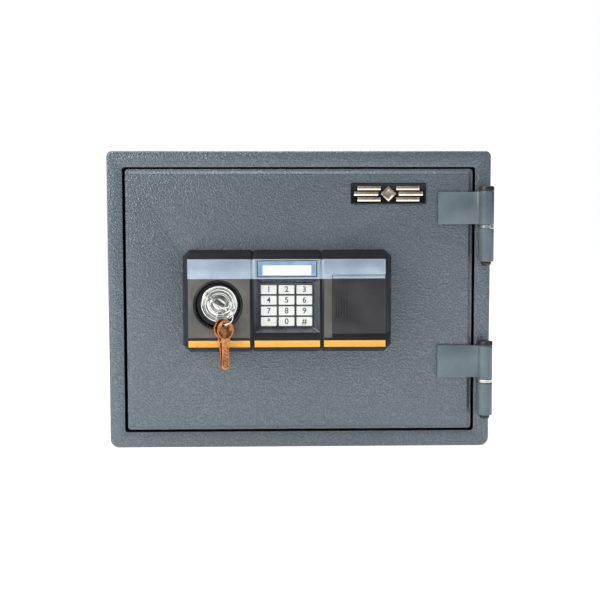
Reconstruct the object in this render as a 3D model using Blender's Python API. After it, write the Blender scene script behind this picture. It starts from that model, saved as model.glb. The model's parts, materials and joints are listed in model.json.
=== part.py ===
"""A small fire-resistant safe with a keypad and a key lock, modelled as separate pieces.

Units are metres.  X runs to the right (the hinge side), Y to the back and Z up.  The origin is
the middle of the cabinet's footprint.  The door is shut, its bolts are drawn back and the key
stands in the lock.
"""

import math

import bmesh
import bpy
from mathutils import Matrix, Vector

# ---- Driving dimensions -------------------------------------------------------------------

WIDTH = 0.412
DEPTH = 0.363
HEIGHT = 0.320
FRONT = -DEPTH / 2
BACK = DEPTH / 2

GAP = 0.0003  # air between pieces that rest on each other
SHEET = 0.0015  # steel sheet of the cabinet, the jamb and the door
LINER_SHEET = 0.001
TOP_RADIUS = 0.006
BOTTOM_RADIUS = 0.0095
FRONT_RADIUS = 0.0025

# Rectangles seen from the front: left, right, bottom, top.
CABINET = (-WIDTH / 2, WIDTH / 2, 0.0, HEIGHT)
DOORWAY = (-0.1895, 0.1890, 0.0172, 0.3028)
THROAT = (-0.1660, 0.1660, 0.0410, 0.2790)
CAVITY = (-0.1500, 0.1500, 0.0600, 0.2600)
DOOR = (-0.1864, 0.1863, 0.0197, 0.3008)
PLUG = (-0.1575, 0.1620, 0.0440, 0.2760)

SEAT = FRONT + 0.0245  # plane that the door's flange closes against
THROAT_END = -0.118
LINER_FRONT = THROAT_END + SHEET + GAP
LINER_BACK = 0.1235

DOOR_RIM = 0.0022
DOOR_BEVEL = 0.003
DOOR_FACE = FRONT - DOOR_BEVEL
SEAL_THICKNESS = 0.0012
FLANGE_BACK = SEAT - SEAL_THICKNESS - 0.0008
INNER_SHEET = 0.0012
PAN_BACK = FLANGE_BACK - INNER_SHEET - GAP
PLUG_BACK = -0.1245

# Hinges: two parts turn on each pin, a washer between them.
HINGE_X = 0.1988
HINGE_Y = -0.1935
HINGE_TOPS = {"upper": 0.2817, "lower": 0.1168}
BARREL_RADIUS = 0.0079
PIN_RADIUS = 0.004
CAP_HEIGHT = 0.0052
DOOR_BARREL_HEIGHT = 0.0358
WASHER_HEIGHT = 0.0034
BODY_BARREL_HEIGHT = 0.0349
PIN_TIP_HEIGHT = 0.0045
LEAF_LEFT = 0.1485
LEAF_BEND = 0.1818
LEAF_THICKNESS = 0.003

# Lock housing on the door.
HOUSING_BASE = (-0.1254, 0.0983, 0.1050, 0.2145)
HOUSING_FACE = (-0.1177, 0.0890, 0.1130, 0.2055)
HOUSING_CHAMFER = 0.0075
FACE_CHAMFER = 0.0008
FACE_Y = -0.2205
BASE_Y = DOOR_FACE - GAP
HOUSING_WALL = 0.0024
GROOVES_X = (-0.0501, 0.0223)
GROOVE_WIDTH = 0.004
GROOVE_DEPTH = 0.0016
BAND_BOTTOM = 0.1846
COVER_LEFT = 0.0332
COVER_BOTTOM = 0.1274
COVER_TOP = 0.1886
COVER_WALL = 0.0022
COVER_STRIP_BOTTOM = 0.1850  # the cover's top is finished like the silver band
STRIP_THICKNESS = 0.0010
GRIP_START = 0.0369
GRIP_PITCH = 0.0028
GRIP_WIDTH = 0.0013

# Keypad.
POCKET = (-0.0482, 0.0202, 0.1288, 0.1842)
POCKET_FLOOR = (-0.0427, 0.0129, 0.1332, 0.1800)
FLOOR_Y = FACE_Y + 0.0075
KEY_SIZE = (0.0164, 0.0094)
KEY_PITCH = (0.0186, 0.0112)
KEY_CENTRE = (-0.01445, 0.1566)
KEY_FRONT = FLOOR_Y - 0.0018
KEY_FLANGE = 0.0006
KEY_TRAVEL = 0.001
KEY_NAMES = (("1", "2", "3"), ("4", "5", "6"), ("7", "8", "9"), ("star", "0", "hash"))

# Display.
NAMEPLATE = (0.0547, 0.1353, 0.2627, 0.2854)
DISPLAY = (-0.0451, 0.0170, 0.1868, 0.2036)

# Key lock and bolt work.
LOCK_X = -0.0846
LOCK_Z = 0.1588
DISH_RADIUS = 0.0255
DISH_DEPTH = 0.0125
DISH_SHIFT = (-0.0012, -0.0011)  # its mouth lies a little left of and below the lock
COLLAR_FRONT = FACE_Y + 0.0030
PLUG_FRONT = FACE_Y + 0.0068
KEY_SHOULDER = PLUG_FRONT - 0.0013
COLLAR_RADIUS = 0.0196
CYLINDER_RADIUS = 0.0105
KEY_PLUG_RADIUS = 0.007
TAIL_RADIUS = 0.005
RUNNING_GAP = 0.0003
KEY_TILT = math.radians(30)
KEY_THICKNESS = 0.002
BOLT_TRAVEL = 0.018
CRANK_RADIUS = BOLT_TRAVEL / 2 / math.sin(math.radians(45))
CRANK_PIN_RADIUS = 0.003
CRANK_SLOT_GAP = 0.0007
BOLT_RADIUS = 0.0075
BOLT_HEIGHTS = {"upper": 0.210, "lower": 0.110}
BOLT_Y = -0.1456
CARRIAGE_THICKNESS = 0.004
CARRIAGE_LEFT = -0.130
LOCK_PLATE_FRONT = -0.1552
CRANK_FRONT = -0.1526
PLUNGER_X = -0.030
PLUNGER_RADIUS = 0.004
PLUNGER_TRAVEL = 0.006
DEAD_BAR = (0.1400, 0.1715, 0.1150, 0.2050)
DEAD_BAR_FRONT = -0.1485
DEAD_BAR_BACK = -0.1335

# Keys on the ring.
RING_RADIUS = 0.009
RING_WIRE = 0.00075
RING_TURN = math.radians(-20)
SPARE_TURN = math.radians(22)
SECOND_TURN = math.radians(24)
SECOND_ALONG = 0.0040  # how far along the wire the second key hangs
HALF_BOW = 0.012
BOW_LENGTH = 0.0215
BOW_HOLE_Y = -0.2310
BOW_SLOT_HALF = 0.0105
BOW_SLOT_RADIUS = 0.0032

BATTERY_RADIUS = 0.0071
BATTERY_PITCH = 0.0147
BATTERY_Y = -0.2056

CORNER_STEPS = 5
ROUND_STEPS = 32


# ---- Small tools --------------------------------------------------------------------------

def clear_scene():
    for item in list(bpy.data.objects):
        bpy.data.objects.remove(item, do_unlink=True)


def finish(name, colour, roughness, metallic):
    """A plain Principled material for one piece."""
    surface = bpy.data.materials.new(name)
    surface.use_nodes = True
    shader = surface.node_tree.nodes["Principled BSDF"]
    shader.inputs["Base Color"].default_value = (*colour, 1.0)
    shader.inputs["Roughness"].default_value = roughness
    shader.inputs["Metallic"].default_value = metallic
    return surface


FINISHES = {
    "grey_paint": ((0.16, 0.19, 0.21), 0.45, 0.2),
    "dark_paint": ((0.02, 0.02, 0.025), 0.5, 0.1),
    "insulation": ((0.55, 0.53, 0.50), 0.9, 0.0),
    "seal": ((0.10, 0.08, 0.08), 0.8, 0.0),
    "black_plastic": ((0.02, 0.02, 0.025), 0.4, 0.0),
    "silver_plastic": ((0.45, 0.52, 0.58), 0.35, 0.4),
    "display": ((0.35, 0.60, 0.75), 0.15, 0.0),
    "key_silver": ((0.75, 0.77, 0.75), 0.35, 0.3),
    "rubber": ((0.05, 0.05, 0.05), 0.8, 0.0),
    "board": ((0.02, 0.15, 0.06), 0.5, 0.0),
    "battery": ((0.10, 0.10, 0.12), 0.3, 0.6),
    "chrome": ((0.80, 0.80, 0.80), 0.08, 1.0),
    "steel": ((0.55, 0.55, 0.55), 0.3, 1.0),
    "brass": ((0.60, 0.36, 0.18), 0.3, 1.0),
}


def place(name, mesh, look):
    """Put a mesh in the scene as one named piece with its own material."""
    item = bpy.data.objects.new(name, mesh)
    item.data.materials.append(finish(name, *FINISHES[look]))
    bpy.context.scene.collection.objects.link(item)
    return item


def mesh_from(build, name):
    """Turn a bmesh into a mesh whose faces all point outwards."""
    bmesh.ops.remove_doubles(build, verts=build.verts, dist=0.00001)
    bmesh.ops.recalc_face_normals(build, faces=build.faces)
    mesh = bpy.data.meshes.new(name)
    build.to_mesh(mesh)
    build.free()
    return mesh


def loft(name, loops, look, ring=False):
    """Skin a row of point loops.  A ring joins its last loop to its first, else both are capped."""
    build = bmesh.new()
    rows = [[build.verts.new(point) for point in loop] for loop in loops]
    pairs = list(zip(rows, rows[1:]))
    if ring:
        pairs.append((rows[-1], rows[0]))
    count = len(rows[0])
    for near, far in pairs:
        for index in range(count):
            after = (index + 1) % count
            build.faces.new((near[index], near[after], far[after], far[index]))
    if not ring:
        build.faces.new(rows[0])
        build.faces.new(rows[-1])
    return place(name, mesh_from(build, name), look)


def grown(limits, amount):
    left, right, bottom, top = limits
    return (left - amount, right + amount, bottom - amount, top + amount)


def rectangle(limits, y, low_radius, high_radius=None, steps=CORNER_STEPS):
    """A rectangle with round corners (steps=1 cuts them straight) standing at depth y."""
    left, right, bottom, top = limits
    if high_radius is None:
        high_radius = low_radius
    corners = (
        (right - low_radius, bottom + low_radius, low_radius, -90),
        (right - high_radius, top - high_radius, high_radius, 0),
        (left + high_radius, top - high_radius, high_radius, 90),
        (left + low_radius, bottom + low_radius, low_radius, 180),
    )
    points = []
    for centre_x, centre_z, radius, start in corners:
        for step in range(steps + 1):
            angle = math.radians(start + 90 * step / steps)
            points.append(Vector((
                centre_x + radius * math.cos(angle),
                y,
                centre_z + radius * math.sin(angle),
            )))
    return points


def circle(axis, centre, radius, along, steps=ROUND_STEPS):
    """A circle about a line through centre, at the coordinate `along` on that line."""
    x, y, z = centre
    points = []
    for step in range(steps):
        angle = 2 * math.pi * step / steps
        u = radius * math.cos(angle)
        v = radius * math.sin(angle)
        if axis == "X":
            points.append(Vector((along, y + u, z + v)))
        elif axis == "Y":
            points.append(Vector((x + u, along, z + v)))
        else:
            points.append(Vector((x + u, y + v, along)))
    return points


def turned(name, axis, centre, profile, look, ring=False, steps=ROUND_STEPS):
    """A turned piece: the profile lists (radius, place along the axis)."""
    loops = [circle(axis, centre, radius, along, steps) for radius, along in profile]
    item = loft(name, loops, look, ring)
    item.data.shade_smooth()
    item.data.set_sharp_from_angle(angle=math.radians(35))
    return item


def prism(name, axis, outline, start, end, look):
    """Extrude a flat outline; its points are (y, z), (x, z) or (x, y) for axis X, Y or Z."""
    loops = []
    for along in (start, end):
        if axis == "X":
            loops.append([Vector((along, u, v)) for u, v in outline])
        elif axis == "Y":
            loops.append([Vector((u, along, v)) for u, v in outline])
        else:
            loops.append([Vector((u, v, along)) for u, v in outline])
    return loft(name, loops, look)


def box(name, limits, front, back, look):
    """A plain block between two depths."""
    left, right, bottom, top = limits
    outline = ((left, bottom), (right, bottom), (right, top), (left, top))
    return prism(name, "Y", outline, front, back, look)


def combine(item, other, operation="DIFFERENCE"):
    """Cut or join another shape; the other shape is only a tool and isn't part of the safe."""
    other.hide_render = True
    other.display_type = "WIRE"
    tool = item.modifiers.new(other.name, "BOOLEAN")
    tool.operation = operation
    tool.solver = "EXACT"
    tool.object = other
    return item


def turn_mesh(item, angle, axis, centre):
    """Turn a piece's mesh about a line through centre."""
    around = Matrix.Translation(centre) @ Matrix.Rotation(angle, 4, axis)
    item.data.transform(around @ Matrix.Translation(-Vector(centre)))
    return item


def arc(centre, radius, start, end, steps):
    """Points of an arc in a plane, angles in degrees."""
    points = []
    for step in range(steps + 1):
        angle = math.radians(start + (end - start) * step / steps)
        points.append((centre[0] + radius * math.cos(angle), centre[1] + radius * math.sin(angle)))
    return points


def pivot(name, point):
    """An empty on a joint's axis."""
    marker = bpy.data.objects.new(name, None)
    marker.location = point
    bpy.context.scene.collection.objects.link(marker)
    return marker


def hang_on(marker, items):
    """Parent pieces to an empty and leave them where they are."""
    bpy.context.view_layer.update()
    for item in items:
        item.parent = marker
        item.matrix_parent_inverse = marker.matrix_world.inverted()


# ---- Cabinet ------------------------------------------------------------------------------

def outer_shell():
    """Folded sheet: four sides and a front frame around the doorway, open at the back."""
    inside = grown(CABINET, -SHEET)
    loops = [rectangle(CABINET, BACK, BOTTOM_RADIUS, TOP_RADIUS)]
    fillet_steps = 3
    for step in range(fillet_steps + 1):
        angle = math.radians(90 * step / fillet_steps)
        inset = FRONT_RADIUS * (1 - math.cos(angle))
        y = FRONT + FRONT_RADIUS * (1 - math.sin(angle))
        loops.append(rectangle(grown(CABINET, -inset), y, BOTTOM_RADIUS - inset, TOP_RADIUS - inset))
    loops.append(rectangle(DOORWAY, FRONT, 0.003))
    loops.append(rectangle(DOORWAY, FRONT + SHEET, 0.003))
    inner = (BOTTOM_RADIUS - SHEET, TOP_RADIUS - SHEET)
    loops.append(rectangle(inside, FRONT + SHEET, *inner))
    loops.append(rectangle(inside, BACK, *inner))
    return loft("outer_shell", loops, "grey_paint", ring=True)


def back_panel():
    limits = grown(CABINET, -SHEET - GAP)
    radii = (BOTTOM_RADIUS - SHEET, TOP_RADIUS - SHEET)
    loops = [rectangle(limits, BACK - SHEET, *radii), rectangle(limits, BACK, *radii)]
    return loft("back_panel", loops, "grey_paint")


def door_jamb():
    """Stepped sheet frame: the door's flange shuts on its seat, the plug goes into its throat."""
    start = FRONT + SHEET + GAP
    loops = [
        rectangle(DOORWAY, start, 0.003),
        rectangle(DOORWAY, SEAT, 0.003),
        rectangle(THROAT, SEAT, 0.004),
        rectangle(THROAT, THROAT_END, 0.004),
        rectangle(CAVITY, THROAT_END, 0.003),
        rectangle(CAVITY, THROAT_END + SHEET, 0.003),
        rectangle(grown(THROAT, SHEET), THROAT_END + SHEET, 0.006),
        rectangle(grown(THROAT, SHEET), SEAT + SHEET, 0.006),
        rectangle(grown(DOORWAY, SHEET), SEAT + SHEET, 0.005),
        rectangle(grown(DOORWAY, SHEET), start, 0.005),
    ]
    jamb = loft("door_jamb", loops, "dark_paint", ring=True)
    for end, height in BOLT_HEIGHTS.items():
        hole = turned(
            f"jamb_hole_{end}", "X", (0, BOLT_Y, height),
            ((BOLT_RADIUS + 0.001, -0.180), (BOLT_RADIUS + 0.001, -0.160)), "dark_paint",
        )
        combine(jamb, hole)
    combine(jamb, dead_bar_pocket("jamb_dead_bar_hole", 0.160, 0.180))
    return jamb


def dead_bar_pocket(name, left, right):
    """Room for the fixed bar on the hinge side, wide enough for the way it swings out."""
    clearance = 0.002
    limits = (left, right, DEAD_BAR[2] - clearance, DEAD_BAR[3] + clearance)
    return box(name, limits, -0.1544, DEAD_BAR_BACK + clearance, "dark_paint")


def cabinet_insulation():
    """Cast fire-resistant filling between the shell, the jamb and the liner."""
    outside = grown(CABINET, -SHEET - GAP)
    radii = (BOTTOM_RADIUS - SHEET, TOP_RADIUS - SHEET)
    front = FRONT + SHEET + GAP
    around_door = grown(DOORWAY, SHEET + GAP)
    around_throat = grown(THROAT, SHEET + GAP)
    around_liner = grown(CAVITY, LINER_SHEET + GAP)
    step_one = SEAT + SHEET + GAP
    step_two = THROAT_END + SHEET + GAP
    loops = [
        rectangle(outside, BACK - SHEET - GAP, *radii),
        rectangle(outside, front, *radii),
        rectangle(around_door, front, 0.005),
        rectangle(around_door, step_one, 0.005),
        rectangle(around_throat, step_one, 0.006),
        rectangle(around_throat, step_two, 0.006),
        rectangle(around_liner, step_two, 0.004),
        rectangle(around_liner, LINER_BACK + LINER_SHEET + GAP, 0.004),
    ]
    filling = loft("cabinet_insulation", loops, "insulation")
    for end, height in BOLT_HEIGHTS.items():
        pocket = turned(
            f"filling_pocket_{end}", "X", (0, BOLT_Y, height),
            ((BOLT_RADIUS + 0.001, -0.179), (BOLT_RADIUS + 0.001, -0.160)), "insulation",
        )
        combine(filling, pocket)
    combine(filling, dead_bar_pocket("filling_dead_bar_pocket", 0.160, 0.178))
    return filling


def inner_liner():
    """Thin steel box around the storage space, open at the front."""
    outside = grown(CAVITY, LINER_SHEET)
    loops = [
        rectangle(outside, LINER_BACK + LINER_SHEET, 0.004),
        rectangle(outside, LINER_FRONT, 0.004),
        rectangle(CAVITY, LINER_FRONT, 0.003),
        rectangle(CAVITY, LINER_BACK, 0.003),
    ]
    return loft("inner_liner", loops, "grey_paint")


def fire_seal():
    """Strip on the seat that swells in a fire and closes the gap."""
    front = SEAT - GAP - SEAL_THICKNESS
    back = SEAT - GAP
    loops = [
        rectangle(grown(THROAT, 0.003), front, 0.006),
        rectangle(grown(THROAT, 0.015), front, 0.010),
        rectangle(grown(THROAT, 0.015), back, 0.010),
        rectangle(grown(THROAT, 0.003), back, 0.006),
    ]
    return loft("fire_seal", loops, "seal", ring=True)


def shelf():
    """Steel shelf with its front edge folded down."""
    top = 0.160
    sheet = 0.0012
    lip = 0.012
    front = -0.085
    back = 0.120
    outline = (
        (front, top - lip), (front, top), (back, top), (back, top - lip),
        (back - sheet, top - lip), (back - sheet, top - sheet), (front + sheet, top - sheet),
        (front + sheet, top - lip),
    )
    reach = CAVITY[1] - 0.0005
    return prism("shelf", "X", outline, -reach, reach, "grey_paint")


# ---- Hinges -------------------------------------------------------------------------------

def hinge_levels(end):
    """Heights of one hinge's pieces from the top down."""
    top = HINGE_TOPS[end]
    cap = top - CAP_HEIGHT
    door_barrel = (cap - GAP, cap - GAP - DOOR_BARREL_HEIGHT)
    washer = (door_barrel[1] - GAP, door_barrel[1] - GAP - WASHER_HEIGHT)
    body_barrel = (washer[1] - GAP, washer[1] - GAP - BODY_BARREL_HEIGHT)
    tip = (body_barrel[1] - GAP, body_barrel[1] - GAP - PIN_TIP_HEIGHT)
    return top, cap, door_barrel, washer, body_barrel, tip


def edged_profile(radius, low, high, edge=0.0005):
    """Profile of a short cylinder with its two edges broken."""
    return ((radius - edge, low), (radius, low + edge), (radius, high - edge), (radius - edge, high))


def hinge_bore(name, low, high):
    profile = ((PIN_RADIUS + RUNNING_GAP, low - 0.001), (PIN_RADIUS + RUNNING_GAP, high + 0.001))
    return turned(name, "Z", (HINGE_X, HINGE_Y, 0), profile, "steel", steps=24)


def hinge_leaf(end):
    """Door half of a hinge: a leaf welded on the door's face, cranked out to its barrel."""
    high, low = hinge_levels(end)[2]
    barrel = turned(
        f"hinge_leaf_{end}", "Z", (HINGE_X, HINGE_Y, 0), edged_profile(BARREL_RADIUS, low, high),
        "grey_paint",
    )
    back = DOOR_FACE - GAP
    front = back - LEAF_THICKNESS
    step_out = 0.0022
    knee = LEAF_BEND + 0.0075
    outline = (
        (LEAF_LEFT, back), (LEAF_BEND, back), (knee, back - step_out),
        (HINGE_X - 0.002, back - step_out - 0.0016), (HINGE_X - 0.004, HINGE_Y),
        (knee, front - step_out), (LEAF_BEND, front), (LEAF_LEFT, front),
    )
    leaf = prism(f"leaf_plate_{end}", "Z", outline, low + 0.0012, high - 0.0004, "grey_paint")
    combine(barrel, leaf, "UNION")
    combine(barrel, hinge_bore(f"leaf_bore_{end}", low, high))
    return barrel


def hinge_knuckle(end):
    """Cabinet half of a hinge: a barrel on a block welded to the front frame."""
    high, low = hinge_levels(end)[4]
    barrel = turned(
        f"hinge_knuckle_{end}", "Z", (HINGE_X, HINGE_Y, 0), edged_profile(BARREL_RADIUS, low, high),
        "grey_paint",
    )
    block = box(
        f"knuckle_block_{end}", (HINGE_X - 0.0058, HINGE_X + 0.0058, low + 0.001, high - 0.001),
        HINGE_Y + 0.002, FRONT - GAP, "grey_paint",
    )
    combine(barrel, block, "UNION")
    combine(barrel, hinge_bore(f"knuckle_bore_{end}", low, high))
    return barrel


def hinge_washer(end):
    high, low = hinge_levels(end)[3]
    inner = PIN_RADIUS + RUNNING_GAP
    outer = BARREL_RADIUS
    edge = 0.0004
    profile = (
        (inner, low), (outer - edge, low), (outer, low + edge), (outer, high - edge),
        (outer - edge, high), (inner, high),
    )
    return turned(f"hinge_washer_{end}", "Z", (HINGE_X, HINGE_Y, 0), profile, "steel", ring=True)


def hinge_pin(end):
    """Pin with a broad head on top and a rounded end below."""
    top, cap, _, _, _, (tip_high, tip_low) = hinge_levels(end)
    tip_radius = 0.0054
    profile = (
        (0.0034, tip_low), (0.0048, tip_low + 0.0008), (tip_radius, tip_low + 0.0022),
        (tip_radius, tip_high), (PIN_RADIUS, tip_high), (PIN_RADIUS, cap), (BARREL_RADIUS, cap),
        (BARREL_RADIUS, top - 0.001), (BARREL_RADIUS - 0.001, top),
    )
    return turned(f"hinge_pin_{end}", "Z", (HINGE_X, HINGE_Y, 0), profile, "dark_paint", steps=24)


# ---- Door ---------------------------------------------------------------------------------

def door_outer_panel():
    """Pan of sheet steel with a raised face, open at the back."""
    edge = 0.0008
    radius = 0.0035
    bevel_inset = DOOR_RIM + DOOR_BEVEL
    loops = [
        rectangle(grown(DOOR, -bevel_inset), DOOR_FACE, 0.001),
        rectangle(grown(DOOR, -DOOR_RIM), FRONT, 0.002),
        rectangle(grown(DOOR, -edge), FRONT, radius - edge),
        rectangle(DOOR, FRONT + edge, radius),
        rectangle(DOOR, PAN_BACK, radius),
        rectangle(grown(DOOR, -SHEET), PAN_BACK, radius - SHEET),
        rectangle(grown(DOOR, -SHEET), FRONT + SHEET, radius - SHEET),
        rectangle(grown(DOOR, -bevel_inset - 0.0003), DOOR_FACE + SHEET, 0.0007),
    ]
    pan = loft("door_outer_panel", loops, "grey_paint")
    combine(pan, cylinder_hole("pan_cylinder_hole", CYLINDER_RADIUS + GAP))
    return pan


def cylinder_hole(name, radius):
    profile = ((radius, -0.190), (radius, -0.150))
    return turned(name, "Y", (LOCK_X, 0, LOCK_Z), profile, "steel", steps=24)


def door_insulation():
    """Board that fills the pan."""
    limits = grown(DOOR, -DOOR_RIM - DOOR_BEVEL - 0.0006)
    loops = [
        rectangle(limits, DOOR_FACE + SHEET + GAP, 0.001),
        rectangle(limits, PAN_BACK, 0.001),
    ]
    board = loft("door_insulation", loops, "insulation")
    combine(board, cylinder_hole("board_cylinder_hole", CYLINDER_RADIUS + 0.0005))
    return board


def door_inner_panel():
    """Hat of sheet steel behind the door: a flange and the plug that holds the bolt work."""
    flange = grown(DOOR, -0.001)
    inside = grown(PLUG, -INNER_SHEET)
    front = FLANGE_BACK - INNER_SHEET
    edge = 0.002
    loops = [
        rectangle(grown(PLUG, -edge), PLUG_BACK, 0.003),
        rectangle(PLUG, PLUG_BACK - edge, 0.005),
        rectangle(PLUG, FLANGE_BACK, 0.005),
        rectangle(flange, FLANGE_BACK, 0.0025),
        rectangle(flange, front, 0.0025),
        rectangle(inside, front, 0.0035),
        rectangle(inside, PLUG_BACK - edge, 0.0035),
        rectangle(grown(inside, -0.0005), PLUG_BACK - edge, 0.003),
    ]
    hat = loft("door_inner_panel", loops, "grey_paint")
    for end, height in BOLT_HEIGHTS.items():
        hole = turned(
            f"hat_hole_{end}", "X", (0, BOLT_Y, height),
            ((BOLT_RADIUS + RUNNING_GAP, -0.165), (BOLT_RADIUS + RUNNING_GAP, -0.150)), "steel",
        )
        combine(hat, hole)
    slot_limits = (0.155, 0.165, DEAD_BAR[2] - GAP, DEAD_BAR[3] + GAP)
    slot = box("hat_dead_bar_slot", slot_limits, DEAD_BAR_FRONT - GAP, DEAD_BAR_BACK + GAP, "steel")
    combine(hat, slot)
    return hat


def nameplate():
    loops = [
        rectangle(NAMEPLATE, DOOR_FACE - GAP, 0.0012),
        rectangle(NAMEPLATE, DOOR_FACE - GAP - 0.0007, 0.0012),
        rectangle(grown(NAMEPLATE, -0.0003), DOOR_FACE - GAP - 0.0010, 0.0010),
    ]
    return loft("nameplate", loops, "black_plastic")


# ---- Lock housing and electronics ---------------------------------------------------------

def housing_limits(y):
    """The housing's sides lean in evenly from the door to its face."""
    share = (y - BASE_Y) / (FACE_Y - BASE_Y)
    pairs = zip(HOUSING_BASE, HOUSING_FACE)
    return tuple(base + share * (face - base) for base, face in pairs)


def housing_loop(y, inset=0.0):
    share = (y - BASE_Y) / (FACE_Y - BASE_Y)
    chamfer = HOUSING_CHAMFER + share * (FACE_CHAMFER - HOUSING_CHAMFER)
    return rectangle(grown(housing_limits(y), -inset), y, max(chamfer - inset * 0.6, 0.0004), steps=1)


def groove_cutter(name, x):
    """V-shaped groove across the housing's face and down its sloping top and bottom."""
    half = GROOVE_WIDTH / 2
    sides = []
    bottom_out = (HOUSING_BASE[2], BASE_Y + 0.002)
    for depth in (0.0, GROOVE_DEPTH):
        face_y = FACE_Y + depth
        low = HOUSING_FACE[2] + depth * 0.8
        high = HOUSING_FACE[3] - depth * 0.8
        low_base = (bottom_out[0] + depth, bottom_out[1])
        high_base = (HOUSING_BASE[3] - depth, bottom_out[1])
        sides.append((low_base, (low, face_y), (high, face_y), high_base))
    lift = 0.001
    outer = []
    for z, y in sides[0]:
        out_z = -lift if z < LOCK_Z else lift
        out_y = 0.0 if y > FACE_Y + lift else -lift
        outer.append((z + out_z, y + out_y))
    flare = half * (GROOVE_DEPTH + lift) / GROOVE_DEPTH
    build = bmesh.new()
    rows = []
    for shift, path in ((-flare, outer), (0.0, sides[1]), (flare, outer)):
        rows.append([build.verts.new((x + shift, y, z)) for z, y in path])
    for left, right in ((0, 1), (1, 2), (2, 0)):
        for index in range(len(outer) - 1):
            build.faces.new((
                rows[left][index], rows[left][index + 1], rows[right][index + 1], rows[right][index],
            ))
    build.faces.new([row[0] for row in rows])
    build.faces.new([row[-1] for row in rows])
    return place(name, mesh_from(build, name), "black_plastic")


def key_centres():
    """Each button's name and its centre as seen from the front."""
    centres = []
    for row, names in enumerate(KEY_NAMES):
        for column, name in enumerate(names):
            x = KEY_CENTRE[0] + (column - 1) * KEY_PITCH[0]
            z = KEY_CENTRE[1] - (row - 1.5) * KEY_PITCH[1]
            centres.append((name, x, z))
    return centres


def around(x, z, size, grow=0.0):
    """Limits of a rectangle of this size about a centre."""
    half_width = size[0] / 2 + grow
    half_height = size[1] / 2 + grow
    return (x - half_width, x + half_width, z - half_height, z + half_height)


def lock_housing():
    """Moulded cover with a keypad pocket; hollow and open towards the door."""
    inner_y = FACE_Y + HOUSING_WALL
    loops = [
        housing_loop(FACE_Y),
        housing_loop(BASE_Y),
        housing_loop(BASE_Y, HOUSING_WALL),
        housing_loop(inner_y, HOUSING_WALL),
    ]
    cover = loft("lock_housing", loops, "black_plastic")
    tub = [
        rectangle(grown(POCKET, HOUSING_WALL), FACE_Y + 0.0005, 0.001, steps=1),
        rectangle(grown(POCKET_FLOOR, HOUSING_WALL), FLOOR_Y + HOUSING_WALL, 0.001, steps=1),
    ]
    combine(cover, loft("pocket_walls", tub, "black_plastic"), "UNION")
    pocket = [
        rectangle(grown(POCKET, 0.0002), FACE_Y - 0.0003, 0.0006, steps=1),
        rectangle(POCKET_FLOOR, FLOOR_Y, 0.0006, steps=1),
    ]
    combine(cover, loft("pocket_cut", pocket, "black_plastic"))
    for name, x, z in key_centres():
        limits = around(x, z, KEY_SIZE, GAP)
        combine(cover, box(f"key_hole_{name}", limits, FACE_Y, FACE_Y + 0.02, "black_plastic"))
    band = grown(band_limits(), GAP)
    combine(cover, box("trim_cut", band, FACE_Y - 0.01, inner_y + 0.0005, "black_plastic"))
    cover_limits = (COVER_LEFT - GAP, 0.11, COVER_BOTTOM - GAP, COVER_TOP + GAP)
    combine(cover, box("cover_cut", cover_limits, FACE_Y - 0.01, BASE_Y - 0.0035, "black_plastic"))
    lock_hole = turned(
        "housing_lock_hole", "Y", dish_centre(),
        ((DISH_RADIUS + GAP, FACE_Y - 0.005), (DISH_RADIUS + GAP, FACE_Y + 0.005)), "black_plastic",
        steps=48,
    )
    combine(cover, lock_hole)
    for side, x in zip(("left", "right"), GROOVES_X):
        combine(cover, groove_cutter(f"housing_groove_{side}", x))
    return cover


def band_limits():
    """Silver band across the top of the housing's face."""
    left, right, _, top = HOUSING_FACE
    return (left + 0.0006, right - 0.0006, BAND_BOTTOM, top - 0.0004)


def silver_trim():
    trim = box("silver_trim", band_limits(), FACE_Y, FACE_Y + HOUSING_WALL, "silver_plastic")
    window = box("trim_window", grown(DISPLAY, GAP), FACE_Y - 0.005, FACE_Y + 0.005, "silver_plastic")
    combine(trim, window)
    cover_room = (COVER_LEFT - GAP, 0.11, 0.18, COVER_TOP + GAP)
    combine(trim, box("trim_cover_cut", cover_room, FACE_Y - 0.005, FACE_Y + 0.005, "silver_plastic"))
    for side, x in zip(("left", "right"), GROOVES_X):
        combine(trim, groove_cutter(f"trim_groove_{side}", x))
    return trim


def display_window():
    return box("display_window", DISPLAY, FACE_Y + 0.0003, FACE_Y + 0.0018, "display")


def display_module():
    limits = grown(DISPLAY, -0.0012)
    return box("display_module", limits, FACE_Y + 0.0021, FACE_Y + 0.0095, "black_plastic")


def keypad_mat():
    limits = grown(POCKET_FLOOR, -0.0005)
    front = KEY_FRONT + 0.0069 + KEY_TRAVEL
    return box("keypad_mat", limits, front, front + 0.0012, "rubber")


def circuit_board():
    return box("circuit_board", (-0.0485, 0.0200, 0.1200, 0.2030), -0.2050, -0.2034, "board")


def keypad_button(name, x, z):
    """Cap with soft edges and a flange behind that keeps it in its hole."""
    edge = 0.0005
    shoulder = KEY_FRONT + 0.0055
    flange_back = shoulder + 0.0010
    loops = [
        rectangle(around(x, z, KEY_SIZE, -edge), KEY_FRONT, 0.0006, steps=2),
        rectangle(around(x, z, KEY_SIZE), KEY_FRONT + edge, 0.0008, steps=2),
        rectangle(around(x, z, KEY_SIZE), shoulder, 0.0008, steps=2),
        rectangle(around(x, z, KEY_SIZE, KEY_FLANGE), shoulder, 0.0008, steps=2),
        rectangle(around(x, z, KEY_SIZE, KEY_FLANGE), flange_back, 0.0008, steps=2),
    ]
    return loft(f"key_{name}", loops, "key_silver")


def cover_strip_limits():
    right = HOUSING_FACE[1] - 0.0010
    return (COVER_LEFT + 0.0003, right, COVER_STRIP_BOTTOM, COVER_TOP - 0.0003)


def cover_strip():
    """Silver strip set into the top of the battery cover."""
    front = FACE_Y
    return box("cover_strip", cover_strip_limits(), front, front + STRIP_THICKNESS, "silver_plastic")


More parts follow.
